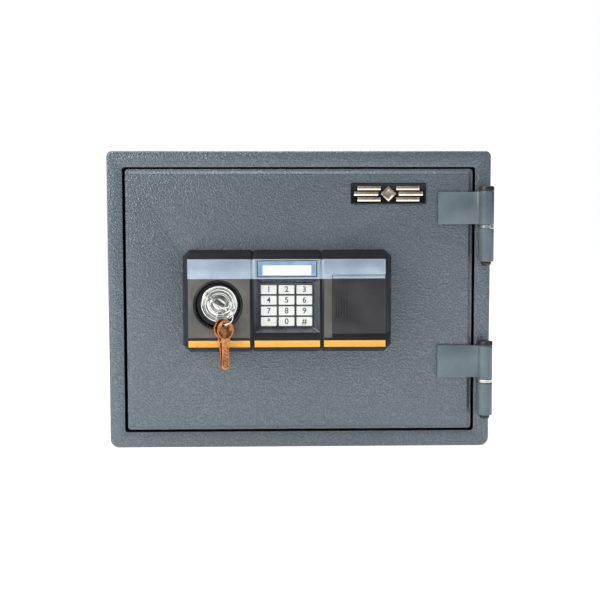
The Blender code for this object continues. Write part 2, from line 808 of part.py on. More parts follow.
def battery_cover():
    """Sliding cover: part of the housing's face and the sloping side beside it."""
    bottom = COVER_BOTTOM
    top = COVER_TOP
    base_y = BASE_Y - 0.004

    def side_x(y, inset=0.0):
        return housing_limits(y)[1] - inset

    outline = (
        (COVER_LEFT, FACE_Y), (side_x(FACE_Y), FACE_Y), (side_x(base_y), base_y),
        (side_x(base_y, COVER_WALL), base_y),
        (side_x(FACE_Y + COVER_WALL, COVER_WALL), FACE_Y + COVER_WALL),
        (COVER_LEFT, FACE_Y + COVER_WALL),
    )
    cover = prism("battery_cover", "Z", outline, bottom, top, "black_plastic")
    rib_count = 5
    for rib in range(rib_count):
        x = GRIP_START + rib * GRIP_PITCH
        limits = (x, x + GRIP_WIDTH, 0.1450, 0.1780)
        combine(cover, box(f"grip_{rib}", limits, FACE_Y - 0.001, FACE_Y + 0.0007, "black_plastic"))
    room = grown(cover_strip_limits(), GAP)
    back = FACE_Y + STRIP_THICKNESS + GAP
    combine(cover, box("strip_room", room, FACE_Y - 0.001, back, "black_plastic"))
    return cover


def battery_centres():
    middle = (COVER_BOTTOM + COVER_TOP) / 2
    return [middle + (index - 1.5) * BATTERY_PITCH for index in range(4)]


def battery_tray():
    """Open box that holds four cells lying side by side."""
    heights = battery_centres()
    limits = (0.0352, 0.0870, heights[0] - 0.0088, heights[3] + 0.0088)
    front = BATTERY_Y - BATTERY_RADIUS
    back = BATTERY_Y + BATTERY_RADIUS + 0.0015
    wall = 0.0011
    inside = grown(limits, -wall)
    loops = [
        rectangle(limits, back, 0.001, steps=1),
        rectangle(limits, front, 0.001, steps=1),
        rectangle(inside, front, 0.0005, steps=1),
        rectangle(inside, back - 0.0012, 0.0005, steps=1),
    ]
    return loft("battery_tray", loops, "black_plastic")


def battery(index, height):
    """One round cell; cells lie head to tail."""
    left = 0.0367
    right = 0.0855
    nub = 0.0012
    nub_radius = 0.0027
    if index % 2:
        profile = (
            (BATTERY_RADIUS - 0.0006, left), (BATTERY_RADIUS, left + 0.0006),
            (BATTERY_RADIUS, right - nub - 0.0006), (BATTERY_RADIUS - 0.0006, right - nub),
            (nub_radius, right - nub), (nub_radius, right),
        )
    else:
        profile = (
            (nub_radius, left), (nub_radius, left + nub), (BATTERY_RADIUS - 0.0006, left + nub),
            (BATTERY_RADIUS, left + nub + 0.0006), (BATTERY_RADIUS, right - 0.0006),
            (BATTERY_RADIUS - 0.0006, right),
        )
    return turned(f"battery_{index + 1}", "X", (0, BATTERY_Y, height), profile, "battery", steps=24)


# ---- Key lock and bolt work ---------------------------------------------------------------

def lock_centre():
    return (LOCK_X, 0, LOCK_Z)


def dish_centre():
    return (LOCK_X + DISH_SHIFT[0], 0, LOCK_Z + DISH_SHIFT[1])


def lock_escutcheon():
    """Dark cup around the lock; it narrows from its mouth to the collar."""
    back = FACE_Y + DISH_DEPTH
    inner = COLLAR_RADIUS + 0.0004
    mouth = dish_centre()
    loops = [
        circle("Y", mouth, DISH_RADIUS - 0.0006, FACE_Y - 0.0006, 48),
        circle("Y", mouth, DISH_RADIUS, FACE_Y, 48),
        circle("Y", mouth, DISH_RADIUS, back, 48),
        circle("Y", lock_centre(), inner, back, 48),
        circle("Y", lock_centre(), inner, COLLAR_FRONT + 0.0030, 48),
        circle("Y", mouth, DISH_RADIUS - 0.0022, FACE_Y + 0.0006, 48),
        circle("Y", mouth, DISH_RADIUS - 0.0014, FACE_Y - 0.0006, 48),
    ]
    dish = loft("lock_escutcheon", loops, "black_plastic", ring=True)
    dish.data.shade_smooth()
    dish.data.set_sharp_from_angle(angle=math.radians(35))
    return dish


def lock_collar():
    """Stepped bright funnel that leads in to the keyway."""
    bore = KEY_PLUG_RADIUS + RUNNING_GAP
    base = FACE_Y + DISH_DEPTH
    profile = (
        (bore, base), (COLLAR_RADIUS, base), (COLLAR_RADIUS, COLLAR_FRONT + 0.0012),
        (COLLAR_RADIUS - 0.0010, COLLAR_FRONT),
        (COLLAR_RADIUS - 0.0034, COLLAR_FRONT + 0.0006),
        (COLLAR_RADIUS - 0.0038, COLLAR_FRONT + 0.0018),
        (COLLAR_RADIUS - 0.0058, COLLAR_FRONT + 0.0020),
        (COLLAR_RADIUS - 0.0062, COLLAR_FRONT + 0.0032),
        (COLLAR_RADIUS - 0.0090, COLLAR_FRONT + 0.0036),
        (COLLAR_RADIUS - 0.0096, COLLAR_FRONT + 0.0028),
        (bore, COLLAR_FRONT + 0.0034),
    )
    return turned("lock_collar", "Y", lock_centre(), profile, "chrome", ring=True, steps=48)


def cylinder_body():
    """Tube that carries the turning plug through the door."""
    bore = KEY_PLUG_RADIUS + RUNNING_GAP
    front = FACE_Y + DISH_DEPTH + GAP
    profile = (
        (bore, front), (CYLINDER_RADIUS, front), (CYLINDER_RADIUS, LOCK_PLATE_FRONT - GAP),
        (bore, LOCK_PLATE_FRONT - GAP),
    )
    return turned("cylinder_body", "Y", lock_centre(), profile, "steel", ring=True)


def turned_with_key(item):
    return turn_mesh(item, KEY_TILT, "Y", lock_centre())


def key_plug():
    """Turning core with a keyway; its tail drives the crank."""
    neck = LOCK_PLATE_FRONT - 0.004
    profile = (
        (TAIL_RADIUS, CRANK_FRONT - GAP), (TAIL_RADIUS, neck), (KEY_PLUG_RADIUS, neck),
        (KEY_PLUG_RADIUS, PLUG_FRONT + 0.0005), (KEY_PLUG_RADIUS - 0.0005, PLUG_FRONT),
    )
    core = turned("key_plug", "Y", lock_centre(), profile, "chrome")
    half_thick = KEY_THICKNESS / 2 + GAP
    limits = (LOCK_X - 0.0046, LOCK_X + 0.0046, LOCK_Z - half_thick, LOCK_Z + half_thick)
    keyway = box("keyway", limits, PLUG_FRONT - 0.01, PLUG_FRONT + 0.029, "steel")
    combine(core, turned_with_key(keyway))
    return core


def inserted_key():
    """Key in the lock, seen end on: its bow stands out of the collar."""
    tip = PLUG_FRONT + 0.0272
    bow_start = KEY_SHOULDER - 0.0025
    bow_end = bow_start - BOW_LENGTH
    half_blade = 0.0042
    half_shoulder = 0.0062
    corner = 0.0075
    right_side = [
        (0.0015, tip), (half_blade, tip - 0.0030), (half_blade, KEY_SHOULDER),
        (half_shoulder, KEY_SHOULDER), (half_shoulder, bow_start),
    ]
    right_side += arc((HALF_BOW - corner, bow_start - corner), corner, 60, 0, 4)
    right_side += arc((HALF_BOW - corner, bow_end + corner), corner, 0, -90, 5)
    outline = [(LOCK_X + u, y) for u, y in right_side]
    outline += [(LOCK_X - u, y) for u, y in reversed(right_side)]
    half_thick = KEY_THICKNESS / 2
    key = prism("inserted_key", "Z", outline, LOCK_Z - half_thick, LOCK_Z + half_thick, "steel")
    reach = BOW_SLOT_HALF - BOW_SLOT_RADIUS
    slot_points = arc((LOCK_X + reach, BOW_HOLE_Y), BOW_SLOT_RADIUS, -90, 90, 8)
    slot_points += arc((LOCK_X - reach, BOW_HOLE_Y), BOW_SLOT_RADIUS, 90, 270, 8)
    slot = prism("bow_slot", "Z", slot_points, LOCK_Z - 0.01, LOCK_Z + 0.01, "steel")
    turned_with_key(key)
    combine(key, turned_with_key(slot))
    return key


def ring_frame():
    """The middle of the bow's rim that the ring goes round, the ring's centre, its level direction."""
    rim = (HALF_BOW + BOW_SLOT_HALF) / 2
    hook = Vector((
        LOCK_X + rim * math.cos(KEY_TILT), BOW_HOLE_Y - 0.0008, LOCK_Z - rim * math.sin(KEY_TILT),
    ))
    level = Vector((math.cos(RING_TURN), math.sin(RING_TURN), 0))
    up = Vector((0, 0, 1))
    bow_normal = Vector((math.sin(KEY_TILT), 0, math.cos(KEY_TILT)))
    lift = (level * level.dot(bow_normal) + up * up.dot(bow_normal)).normalized()
    air = 0.00042
    drop = RING_RADIUS - RING_WIRE - KEY_THICKNESS / 2 - air
    return hook, hook - drop * lift, level


def key_ring():
    """Split ring, drawn as one closed wire."""
    _, centre, level = ring_frame()
    up = Vector((0, 0, 1))
    normal = level.cross(up)
    build = bmesh.new()
    around_steps = 32
    wire_steps = 10
    rows = []
    for step in range(around_steps):
        angle = 2 * math.pi * step / around_steps
        radial = math.cos(angle) * level + math.sin(angle) * up
        row = []
        for turn in range(wire_steps):
            twist = 2 * math.pi * turn / wire_steps
            offset = RING_WIRE * (math.cos(twist) * radial + math.sin(twist) * normal)
            row.append(build.verts.new(centre + RING_RADIUS * radial + offset))
        rows.append(row)
    for step in range(around_steps):
        near = rows[step]
        far = rows[(step + 1) % around_steps]
        for turn in range(wire_steps):
            after = (turn + 1) % wire_steps
            build.faces.new((near[turn], near[after], far[after], far[turn]))
    ring = place("key_ring", mesh_from(build, "key_ring"), "chrome")
    ring.data.shade_smooth()
    return ring


def wire_point(along):
    """A point of the ring's wire, measured along it from its lowest point."""
    _, centre, level = ring_frame()
    angle = along / RING_RADIUS
    return centre + RING_RADIUS * (math.sin(angle) * level - math.cos(angle) * Vector((0, 0, 1)))


def hanging_key(name, wire, turn):
    """Key hanging from the ring, with a round bow and a notched blade."""
    hole_radius = 0.0038
    hole_z = wire.z - 0.0006
    top = hole_z + hole_radius + 0.0020
    bow_half = 0.0090
    bow_bottom = top - 0.0200
    blade_half = 0.0037
    tip = top - 0.0515
    corner = 0.0065
    right_side = [(0.0010, tip), (blade_half - 0.0008, tip + 0.0030)]
    notch_count = 5
    notch_pitch = 0.0042
    for notch in range(notch_count):
        low = tip + 0.0045 + notch * notch_pitch
        right_side += [
            (blade_half, low), (blade_half, low + 0.0018), (blade_half - 0.0013, low + 0.0030),
        ]
    right_side.append((blade_half, bow_bottom - 0.0015))
    right_side += arc((bow_half - corner, bow_bottom + corner), corner, -60, 0, 4)
    right_side += arc((bow_half - corner, top - corner), corner, 0, 90, 6)
    outline = [(wire.x + u, z) for u, z in right_side]
    outline += [(wire.x - u, z) for u, z in reversed(right_side)]
    half_thick = KEY_THICKNESS / 2
    key = prism(name, "Y", outline, wire.y - half_thick, wire.y + half_thick, "brass")
    hole = turned(
        f"{name}_hole", "Y", (wire.x, 0, hole_z),
        ((hole_radius, wire.y - 0.01), (hole_radius, wire.y + 0.01)), "brass", steps=24,
    )
    turn_mesh(key, turn, "Z", wire)
    combine(key, turn_mesh(hole, turn, "Z", wire))
    return key


def spare_key():
    return hanging_key("spare_key", wire_point(0.0), SPARE_TURN)


def second_key():
    """Like the spare key, and behind it on the ring."""
    return hanging_key("second_key", wire_point(-SECOND_ALONG), SECOND_TURN)


def lock_plate():
    """Plate behind the door board that carries the bolt work."""
    limits = (-0.150, 0.010, 0.090, 0.230)
    plate = box("lock_plate", limits, LOCK_PLATE_FRONT, LOCK_PLATE_FRONT + SHEET, "steel")
    profile = ((TAIL_RADIUS + RUNNING_GAP, -0.165), (TAIL_RADIUS + RUNNING_GAP, -0.145))
    combine(plate, turned("plate_hole", "Y", lock_centre(), profile, "steel", steps=24))
    return plate


def crank_pin_place():
    """Unlocked, the crank pin stands 45 degrees to the right of straight up."""
    reach = CRANK_RADIUS * math.sin(math.radians(45))
    return LOCK_X + reach, LOCK_Z + reach


def crank():
    """Arm on the plug's tail; its pin pushes the bolt carriage."""
    back = CRANK_FRONT + 0.004
    pin_x, pin_z = crank_pin_place()
    hub_radius = 0.008
    end_radius = 0.0055
    outline = arc((0, 0), hub_radius, 90, 270, 10)
    outline += arc((CRANK_RADIUS, 0), end_radius, -90, 90, 10)
    outline = [(LOCK_X + u, LOCK_Z + v) for u, v in outline]
    arm = prism("crank", "Y", outline, CRANK_FRONT, back, "steel")
    turn_mesh(arm, -math.radians(45), "Y", lock_centre())
    profile = ((CRANK_PIN_RADIUS, back - 0.001), (CRANK_PIN_RADIUS, back + 0.0062))
    combine(arm, turned("crank_pin", "Y", (pin_x, 0, pin_z), profile, "steel", steps=20), "UNION")
    return arm


def bolt_carriage():
    """Sliding plate that joins both bolts; the crank pin works in its upright slot."""
    front = BOLT_Y - CARRIAGE_THICKNESS / 2
    back = BOLT_Y + CARRIAGE_THICKNESS / 2
    bar_right = -0.108
    arm_bottom = 0.157
    arm_top = 0.183
    arm_right = -0.056
    tail_top = 0.170
    tail_right = -0.006
    outline = (
        (CARRIAGE_LEFT, 0.098), (bar_right, 0.098), (bar_right, arm_bottom), (tail_right, arm_bottom),
        (tail_right, tail_top), (arm_right, tail_top), (arm_right, arm_top), (bar_right, arm_top),
        (bar_right, 0.222), (CARRIAGE_LEFT, 0.222),
    )
    plate = prism("bolt_carriage", "Y", outline, front, back, "steel")
    pin_x, pin_z = crank_pin_place()
    half_slot = CRANK_PIN_RADIUS + CRANK_SLOT_GAP
    highest = LOCK_Z + CRANK_RADIUS
    slot_limits = (pin_x - half_slot, pin_x + half_slot, pin_z - half_slot, highest + half_slot)
    combine(plate, box("carriage_slot", slot_limits, front - 0.01, back + 0.01, "steel"))
    half_notch = PLUNGER_RADIUS + 0.0007
    notch_top = arm_bottom + PLUNGER_TRAVEL + 0.001
    for index, x in enumerate((PLUNGER_X, PLUNGER_X + BOLT_TRAVEL)):
        limits = (x - half_notch, x + half_notch, arm_bottom - 0.01, notch_top)
        combine(plate, box(f"carriage_notch_{index}", limits, front - 0.01, back + 0.01, "steel"))
    return plate


def bolt(end):
    """Round locking bolt; drawn back, its end is level with the plug's side."""
    left = PLUG[0] + GAP
    right = CARRIAGE_LEFT - GAP
    profile = (
        (BOLT_RADIUS - 0.0012, left), (BOLT_RADIUS, left + 0.0012), (BOLT_RADIUS, right),
    )
    return turned(f"bolt_{end}", "X", (0, BOLT_Y, BOLT_HEIGHTS[end]), profile, "chrome")


def dead_bar():
    """Fixed bar that hooks behind the jamb on the hinge side."""
    return box("dead_bar", DEAD_BAR, DEAD_BAR_FRONT, DEAD_BAR_BACK, "steel")


def solenoid():
    """Coil block; its plunger rises into the carriage to hold it."""
    front = LOCK_PLATE_FRONT + SHEET + GAP
    block = box("solenoid", (-0.0425, -0.0175, 0.1180, 0.1480), front, front + 0.020, "dark_paint")
    profile = ((PLUNGER_RADIUS + RUNNING_GAP, 0.1220), (PLUNGER_RADIUS + RUNNING_GAP, 0.1600))
    combine(block, turned("solenoid_bore", "Z", (PLUNGER_X, BOLT_Y, 0), profile, "steel", steps=24))
    return block


def solenoid_plunger():
    profile = edged_profile(PLUNGER_RADIUS, 0.1225, 0.1565)
    return turned("solenoid_plunger", "Z", (PLUNGER_X, BOLT_Y, 0), profile, "steel", steps=24)


# ---- Whole safe ---------------------------------------------------------------------------

def build_cabinet():
    outer_shell()
    back_panel()
    door_jamb()
    cabinet_insulation()
    inner_liner()
    fire_seal()
    shelf()
    for end in HINGE_TOPS:
        hinge_knuckle(end)
        hinge_washer(end)
        hinge_pin(end)


def build_door():
    fixed = [
        door_outer_panel(), door_insulation(), door_inner_panel(), nameplate(),
        lock_housing(), silver_trim(), display_window(), display_module(), keypad_mat(),
        circuit_board(), battery_tray(), lock_escutcheon(), lock_collar(), cylinder_body(),
        lock_plate(), solenoid(), dead_bar(),
    ]
    fixed += [hinge_leaf(end) for end in HINGE_TOPS]
    fixed += [battery(index, height) for index, height in enumerate(battery_centres())]
    hinge_axis = pivot("door_axis", (HINGE_X, HINGE_Y, HEIGHT / 2))
    hang_on(hinge_axis, fixed)
    return hinge_axis


def build_moving(hinge_axis):
    """Each moving piece is parented to an empty on its own joint's axis."""
    lock_axis = pivot("key_axis", (LOCK_X, FACE_Y, LOCK_Z))
    hang_on(lock_axis, [key_plug(), inserted_key(), crank()])
    ring_axis = pivot("ring_axis", ring_frame()[0])
    hang_on(ring_axis, [key_ring()])
    spare_axis = pivot("spare_key_axis", wire_point(0.0))
    hang_on(spare_axis, [spare_key(), second_key()])
    bolt_axis = pivot("bolt_axis", (CARRIAGE_LEFT, BOLT_Y, LOCK_Z))
    hang_on(bolt_axis, [bolt_carriage()] + [bolt(end) for end in BOLT_HEIGHTS])
    plunger_axis = pivot("plunger_axis", (PLUNGER_X, BOLT_Y, 0.1400))
    hang_on(plunger_axis, [solenoid_plunger()])
    cover_axis = pivot("cover_axis", (COVER_LEFT, FACE_Y, (COVER_BOTTOM + COVER_TOP) / 2))
    hang_on(cover_axis, [battery_cover(), cover_strip()])
    hang_on(ring_axis, [spare_axis])
    hang_on(lock_axis, [ring_axis])
    moving = [lock_axis, bolt_axis, plunger_axis, cover_axis]
    for name, x, z in key_centres():
        key_axis = pivot(f"press_{name}", (x, KEY_FRONT, z))
        hang_on(key_axis, [keypad_button(name, x, z)])
        moving.append(key_axis)
    hang_on(hinge_axis, moving)


def main():
    clear_scene()
    build_cabinet()
    build_moving(build_door())


main()
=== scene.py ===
"""Looks of a small fire-resistant safe: hammered grey steel, a moulded lock housing, keys in the lock.

Units are metres.  X runs to the hinge side, Y to the back and Z up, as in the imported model.
"""

import json
import math

import bmesh
import bpy
from mathutils import Matrix, Vector

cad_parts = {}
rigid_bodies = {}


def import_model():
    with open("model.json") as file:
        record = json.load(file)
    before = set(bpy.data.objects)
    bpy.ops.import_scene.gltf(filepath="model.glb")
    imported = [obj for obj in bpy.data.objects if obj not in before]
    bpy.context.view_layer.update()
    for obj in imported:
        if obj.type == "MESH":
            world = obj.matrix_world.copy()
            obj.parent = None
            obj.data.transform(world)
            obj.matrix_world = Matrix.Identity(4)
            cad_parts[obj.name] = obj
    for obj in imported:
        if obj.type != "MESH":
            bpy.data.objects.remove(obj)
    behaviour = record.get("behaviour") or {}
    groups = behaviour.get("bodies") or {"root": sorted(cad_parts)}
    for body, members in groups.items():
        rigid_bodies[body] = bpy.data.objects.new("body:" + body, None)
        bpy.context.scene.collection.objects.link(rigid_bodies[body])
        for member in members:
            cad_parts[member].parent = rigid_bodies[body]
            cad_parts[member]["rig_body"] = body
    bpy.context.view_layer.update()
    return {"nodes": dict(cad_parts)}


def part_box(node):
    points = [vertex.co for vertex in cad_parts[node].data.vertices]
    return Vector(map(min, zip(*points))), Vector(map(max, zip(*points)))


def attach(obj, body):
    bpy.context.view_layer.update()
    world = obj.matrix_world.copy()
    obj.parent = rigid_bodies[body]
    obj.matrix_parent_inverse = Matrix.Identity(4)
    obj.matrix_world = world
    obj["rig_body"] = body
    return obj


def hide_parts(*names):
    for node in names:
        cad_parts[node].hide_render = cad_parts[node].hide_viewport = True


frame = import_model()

MM = 0.001
RING_RADIUS = 9 * MM
RING_TURN = math.radians(-20)


# ---- Hand tools ---------------------------------------------------------------------------

def deselect_all():
    """Leave edit mode and let go of every piece."""
    active = bpy.context.object
    if active and active.mode == "EDIT":
        bpy.ops.object.mode_set(mode="OBJECT")
    bpy.ops.object.select_all(action="DESELECT")


def work_on(piece):
    """Make one piece the only selected one."""
    deselect_all()
    piece.select_set(True)
    bpy.context.view_layer.objects.active = piece
    return piece


def apply_place():
    """Put the active piece's place, turn and size into its mesh."""
    bpy.ops.object.transform_apply(location=True, rotation=True, scale=True)


def settle(name):
    """Name the piece just added and put its place, turn and size into its mesh."""
    piece = bpy.context.object
    piece.name = name
    piece.data.name = name
    apply_place()
    return piece


def block(name, low, high):
    """A block between two corners, to be shaped further."""
    deselect_all()
    low = Vector(low)
    high = Vector(high)
    bpy.ops.mesh.primitive_cube_add(size=1, location=(low + high) / 2, scale=high - low)
    return settle(name)


def rod(name, axis, start, end, radius, sides=32):
    """A round bar along X, Y or Z from one end's middle to the other's."""
    deselect_all()
    start = Vector(start)
    end = Vector(end)
    turns = {"X": (0, math.pi / 2, 0), "Y": (math.pi / 2, 0, 0), "Z": (0, 0, 0)}
    bpy.ops.mesh.primitive_cylinder_add(
        vertices=sides, radius=radius, depth=(end - start).length,
        location=(start + end) / 2, rotation=turns[axis],
    )
    return settle(name)


def turned(name, axis, centre, profile, sides=64):
    """A line drawn through (radius, place along the axis) points, then spun once round the axis."""
    centre = Vector(centre)
    if axis == "Y":
        points = [Vector((centre.x + radius, along, centre.z)) for radius, along in profile]
        line = (0, 1, 0)
    else:
        points = [Vector((centre.x + radius, centre.y, along)) for radius, along in profile]
        line = (0, 0, 1)
    deselect_all()
    bpy.ops.mesh.primitive_plane_add(size=MM)
    bpy.ops.object.mode_set(mode="EDIT")
    bpy.ops.mesh.select_mode(type="VERT")
    bpy.ops.mesh.select_all(action="SELECT")
    bpy.ops.mesh.merge(type="CENTER")
    bpy.ops.transform.translate(value=points[0])
    for near, far in zip(points, points[1:]):
        bpy.ops.mesh.extrude_region_move(TRANSFORM_OT_translate={"value": far - near})
    bpy.ops.mesh.select_all(action="SELECT")
    bpy.ops.mesh.spin(steps=sides, angle=2 * math.pi, center=centre, axis=line)
    bpy.ops.mesh.select_all(action="SELECT")
    bpy.ops.mesh.remove_doubles(threshold=MM / 200)
    bpy.ops.mesh.normals_make_consistent(inside=False)
    bpy.ops.object.mode_set(mode="OBJECT")
    return settle(name)


def pick(piece, kind, test):
    """Open a piece for editing with the faces or edges selected that pass the test.

    A face is tested by its middle and normal, an edge by its middle and direction.
    """
    work_on(piece)
    bpy.ops.object.mode_set(mode="EDIT")
    bpy.ops.mesh.select_mode(type=kind)
    bpy.ops.mesh.select_all(action="DESELECT")
    mesh = bmesh.from_edit_mesh(piece.data)
    if kind == "FACE":
        for face in mesh.faces:
            face.select_set(bool(test(face.calc_center_median(), face.normal)))
    else:
        for edge in mesh.edges:
            near, far = (corner.co for corner in edge.verts)
            edge.select_set(bool(test((near + far) / 2, (far - near).normalized())))
    bmesh.update_edit_mesh(piece.data)


def leave(piece):
    """Stop editing."""
    bpy.ops.object.mode_set(mode="OBJECT")
    return piece


def faces_front(middle, normal):
    """A face that looks to the front."""
    return normal.y < -0.9


def runs_back(middle, along):
    """An edge that runs from front to back."""
    return abs(along.y) > 0.9


def within(spot, low, high):
    """Whether a point lies between two corners, seen from the front."""
    return low.x < spot.x < high.x and low.z < spot.z < high.z


def push_field(piece, test, margins, shift):
    """Inset the faces that pass the test by each margin in turn, then push the last field along Y."""
    pick(piece, "FACE", test)
    for margin in margins:
        bpy.ops.mesh.inset(thickness=margin)
    bpy.ops.transform.translate(value=(0, shift, 0))
    return leave(piece)


def round_corners(piece, radius, segments, test=runs_back):
    """Round the edges that pass the test."""
    pick(piece, "EDGE", test)
    bpy.ops.mesh.bevel(offset=radius, segments=segments, affect="EDGES")
    return leave(piece)


def modify(piece, kind, **settings):
    """Add a modifier with its settings and apply it."""
    work_on(piece)
    change = piece.modifiers.new(kind.title(), kind)
    for name, value in settings.items():
        setattr(change, name, value)
    bpy.ops.object.modifier_apply(modifier=change.name)
    return piece


def combine(piece, tool, operation="DIFFERENCE"):
    """Cut a tool's shape out of a piece, or weld it on."""
    modify(piece, "BOOLEAN", object=tool, operation=operation, solver="EXACT")
    bpy.data.objects.remove(tool)
    return piece


def smooth(piece, angle=35):
    """Shade a piece smooth wherever its faces meet at less than an angle."""
    work_on(piece)
    bpy.ops.object.shade_smooth_by_angle(angle=math.radians(angle))
    return piece


def round_edges(piece, width, segments=2, limit=30):
    """Break every sharp edge with a small radius."""
    modify(
        piece, "BEVEL", width=width, segments=segments, limit_method="ANGLE",
        angle_limit=math.radians(limit), use_clamp_overlap=True,
    )
    return smooth(piece, 40)


def joined(name, pieces):
    """Several pieces made one."""
    deselect_all()
    for piece in pieces:
        piece.select_set(True)
    bpy.context.view_layer.objects.active = pieces[0]
    bpy.ops.object.join()
    return settle(name)


def moved(piece, shift):
    """Move a piece and put the move into its mesh."""
    work_on(piece)
    piece.location = shift
    apply_place()
    return piece


def copied(piece, name, shift=(0, 0, 0)):
    """A copy with its own mesh, moved."""
    twin = bpy.data.objects.new(name, piece.data.copy())
    bpy.context.scene.collection.objects.link(twin)
    return moved(twin, shift)


def turn(piece, angle, axis, centre=(0, 0, 0)):
    """Turn a piece by degrees about a line through a point."""
    work_on(piece)
    centre = Vector(centre)
    around = Matrix.Translation(centre) @ Matrix.Rotation(math.radians(angle), 4, axis)
    piece.matrix_world = around @ Matrix.Translation(-centre)
    apply_place()
    return piece


def reworked(node, width, segments=2):
    """A frame piece's shape with its loose triangles merged and its edges rounded."""
    piece = copied(frame["nodes"][node], f"{node}_finished")
    bpy.ops.mesh.customdata_custom_splitnormals_clear()
    bpy.ops.object.mode_set(mode="EDIT")
    bpy.ops.mesh.select_all(action="SELECT")
    bpy.ops.mesh.remove_doubles(threshold=MM / 100)
    bpy.ops.mesh.dissolve_limited(angle_limit=math.radians(0.5))
    leave(piece)
    return round_edges(piece, width, segments)


def fit(piece, finish, body, slot=None, *nodes):
    """Give a finished piece its material and the body it moves with."""
    piece.data.materials.clear()
    piece.data.materials.append(finish)
    if nodes:
        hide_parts(*nodes)
    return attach(piece, body)


def body_of(node):
    """The body that a frame piece moves with."""
    return frame["nodes"][node]["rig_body"]


def centre_of(node):
    """The middle of a frame piece's box."""
    low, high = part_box(node)
    return (low + high) / 2


# ---- Materials ----------------------------------------------------------------------------

def shade(code):
    """An sRGB hex colour as linear values."""
    values = [int(code[place:place + 2], 16) / 255 for place in (1, 3, 5)]
    linear = [v / 12.92 if v <= 0.04045 else ((v + 0.055) / 1.055) ** 2.4 for v in values]
    return (*linear, 1.0)


def add(tree, kind, inputs=None, stops=None, **settings):
    """Add a node: settings are its own properties, inputs are values or the sockets that feed it."""
    item = tree.nodes.new(f"ShaderNode{kind}")
    for name, value in settings.items():
        setattr(item, name, value)
    for name, value in (inputs or {}).items():
        if isinstance(value, bpy.types.NodeSocket):
            tree.links.new(value, item.inputs[name])
        else:
            item.inputs[name].default_value = value
    if stops:
        ramp = item.color_ramp
        while len(ramp.elements) < len(stops):
            ramp.elements.new(0.5)
        for element, (place, code) in zip(ramp.elements, stops):
            element.position = place
            element.color = shade(code)
    return item


def new_finish(name, roughness, metallic=0.0, ior=1.5, **sockets):
    """A Principled material, its tree and the piece's own coordinates; values are set on the shader."""
    finish = bpy.data.materials.new(name)
    finish.use_nodes = True
    tree = finish.node_tree
    shader = tree.nodes["Principled BSDF"]
    shader.inputs["Roughness"].default_value = roughness
    shader.inputs["Metallic"].default_value = metallic
    if metallic < 1:
        shader.inputs["IOR"].default_value = ior
    for socket, value in sockets.items():
        shader.inputs[socket.replace("_", " ")].default_value = value
    return finish, tree, add(tree, "TexCoord").outputs["Object"]


def edge_highlight_and_wear(tree, radius, strength):
    """How far the surface is a rounded corner, from 0 on a flat to strength on an edge: the lighter colour
    laid there is a painted highlight, in some finishes also wear.
    """
    rounded = add(tree, "Bevel", {"Radius": radius}, samples=4)
    flat = add(tree, "NewGeometry")
    same = add(
        tree, "VectorMath", {0: rounded.outputs["Normal"], 1: flat.outputs["Normal"]},
        operation="DOT_PRODUCT",
    )
    mask = add(tree, "MapRange", {
        "Value": same.outputs["Value"], "From Min": 0.985, "From Max": 0.88, "To Min": 0.0,
        "To Max": strength,
    })
    return mask.outputs["Result"]


def lay(tree, share, under, over):
    """Mix two colours, or a colour socket with a colour, by a share."""
    mix = add(tree, "Mix", {"Factor": share}, data_type="RGBA")
    for name, value in (("A", under), ("B", over)):
        socket = [item for item in mix.inputs if item.name == name and item.type == "RGBA"][0]
        if isinstance(value, bpy.types.NodeSocket):
            tree.links.new(value, socket)
        else:
            socket.default_value = shade(value)
    return [item for item in mix.outputs if item.type == "RGBA"][0]


def connect(tree, **sources):
    """Feed sockets of the shader, named with underscores for their spaces."""
    shader = tree.nodes["Principled BSDF"]
    for name, source in sources.items():
        tree.links.new(source, shader.inputs[name.replace("_", " ")])


def complete(
    finish, colour, relief, strength, depth, under=None,
    wear=None, spread=(0.0, 1.0), gloss=(0.0, 1.0),
):
    """Finish a material off: its colour, a fine relief and a roughness that follows a wear pattern.

    The relief lies on top of the one under it.  Wear between the spread's ends gives roughness
    between the gloss's ends.
    """
    tree = finish.node_tree
    bump = add(tree, "Bump", {"Strength": strength, "Distance": depth, "Height": relief})
    connect(tree, Base_Color=colour, Normal=bump.outputs["Normal"])
    if under is not None:
        tree.links.new(under, bump.inputs["Normal"])
    if wear is not None:
        rough = add(tree, "MapRange", {
            "Value": wear, "From Min": spread[0], "From Max": spread[1],
            "To Min": gloss[0], "To Max": gloss[1],
        })
        connect(tree, Roughness=rough.outputs["Result"])
    return finish


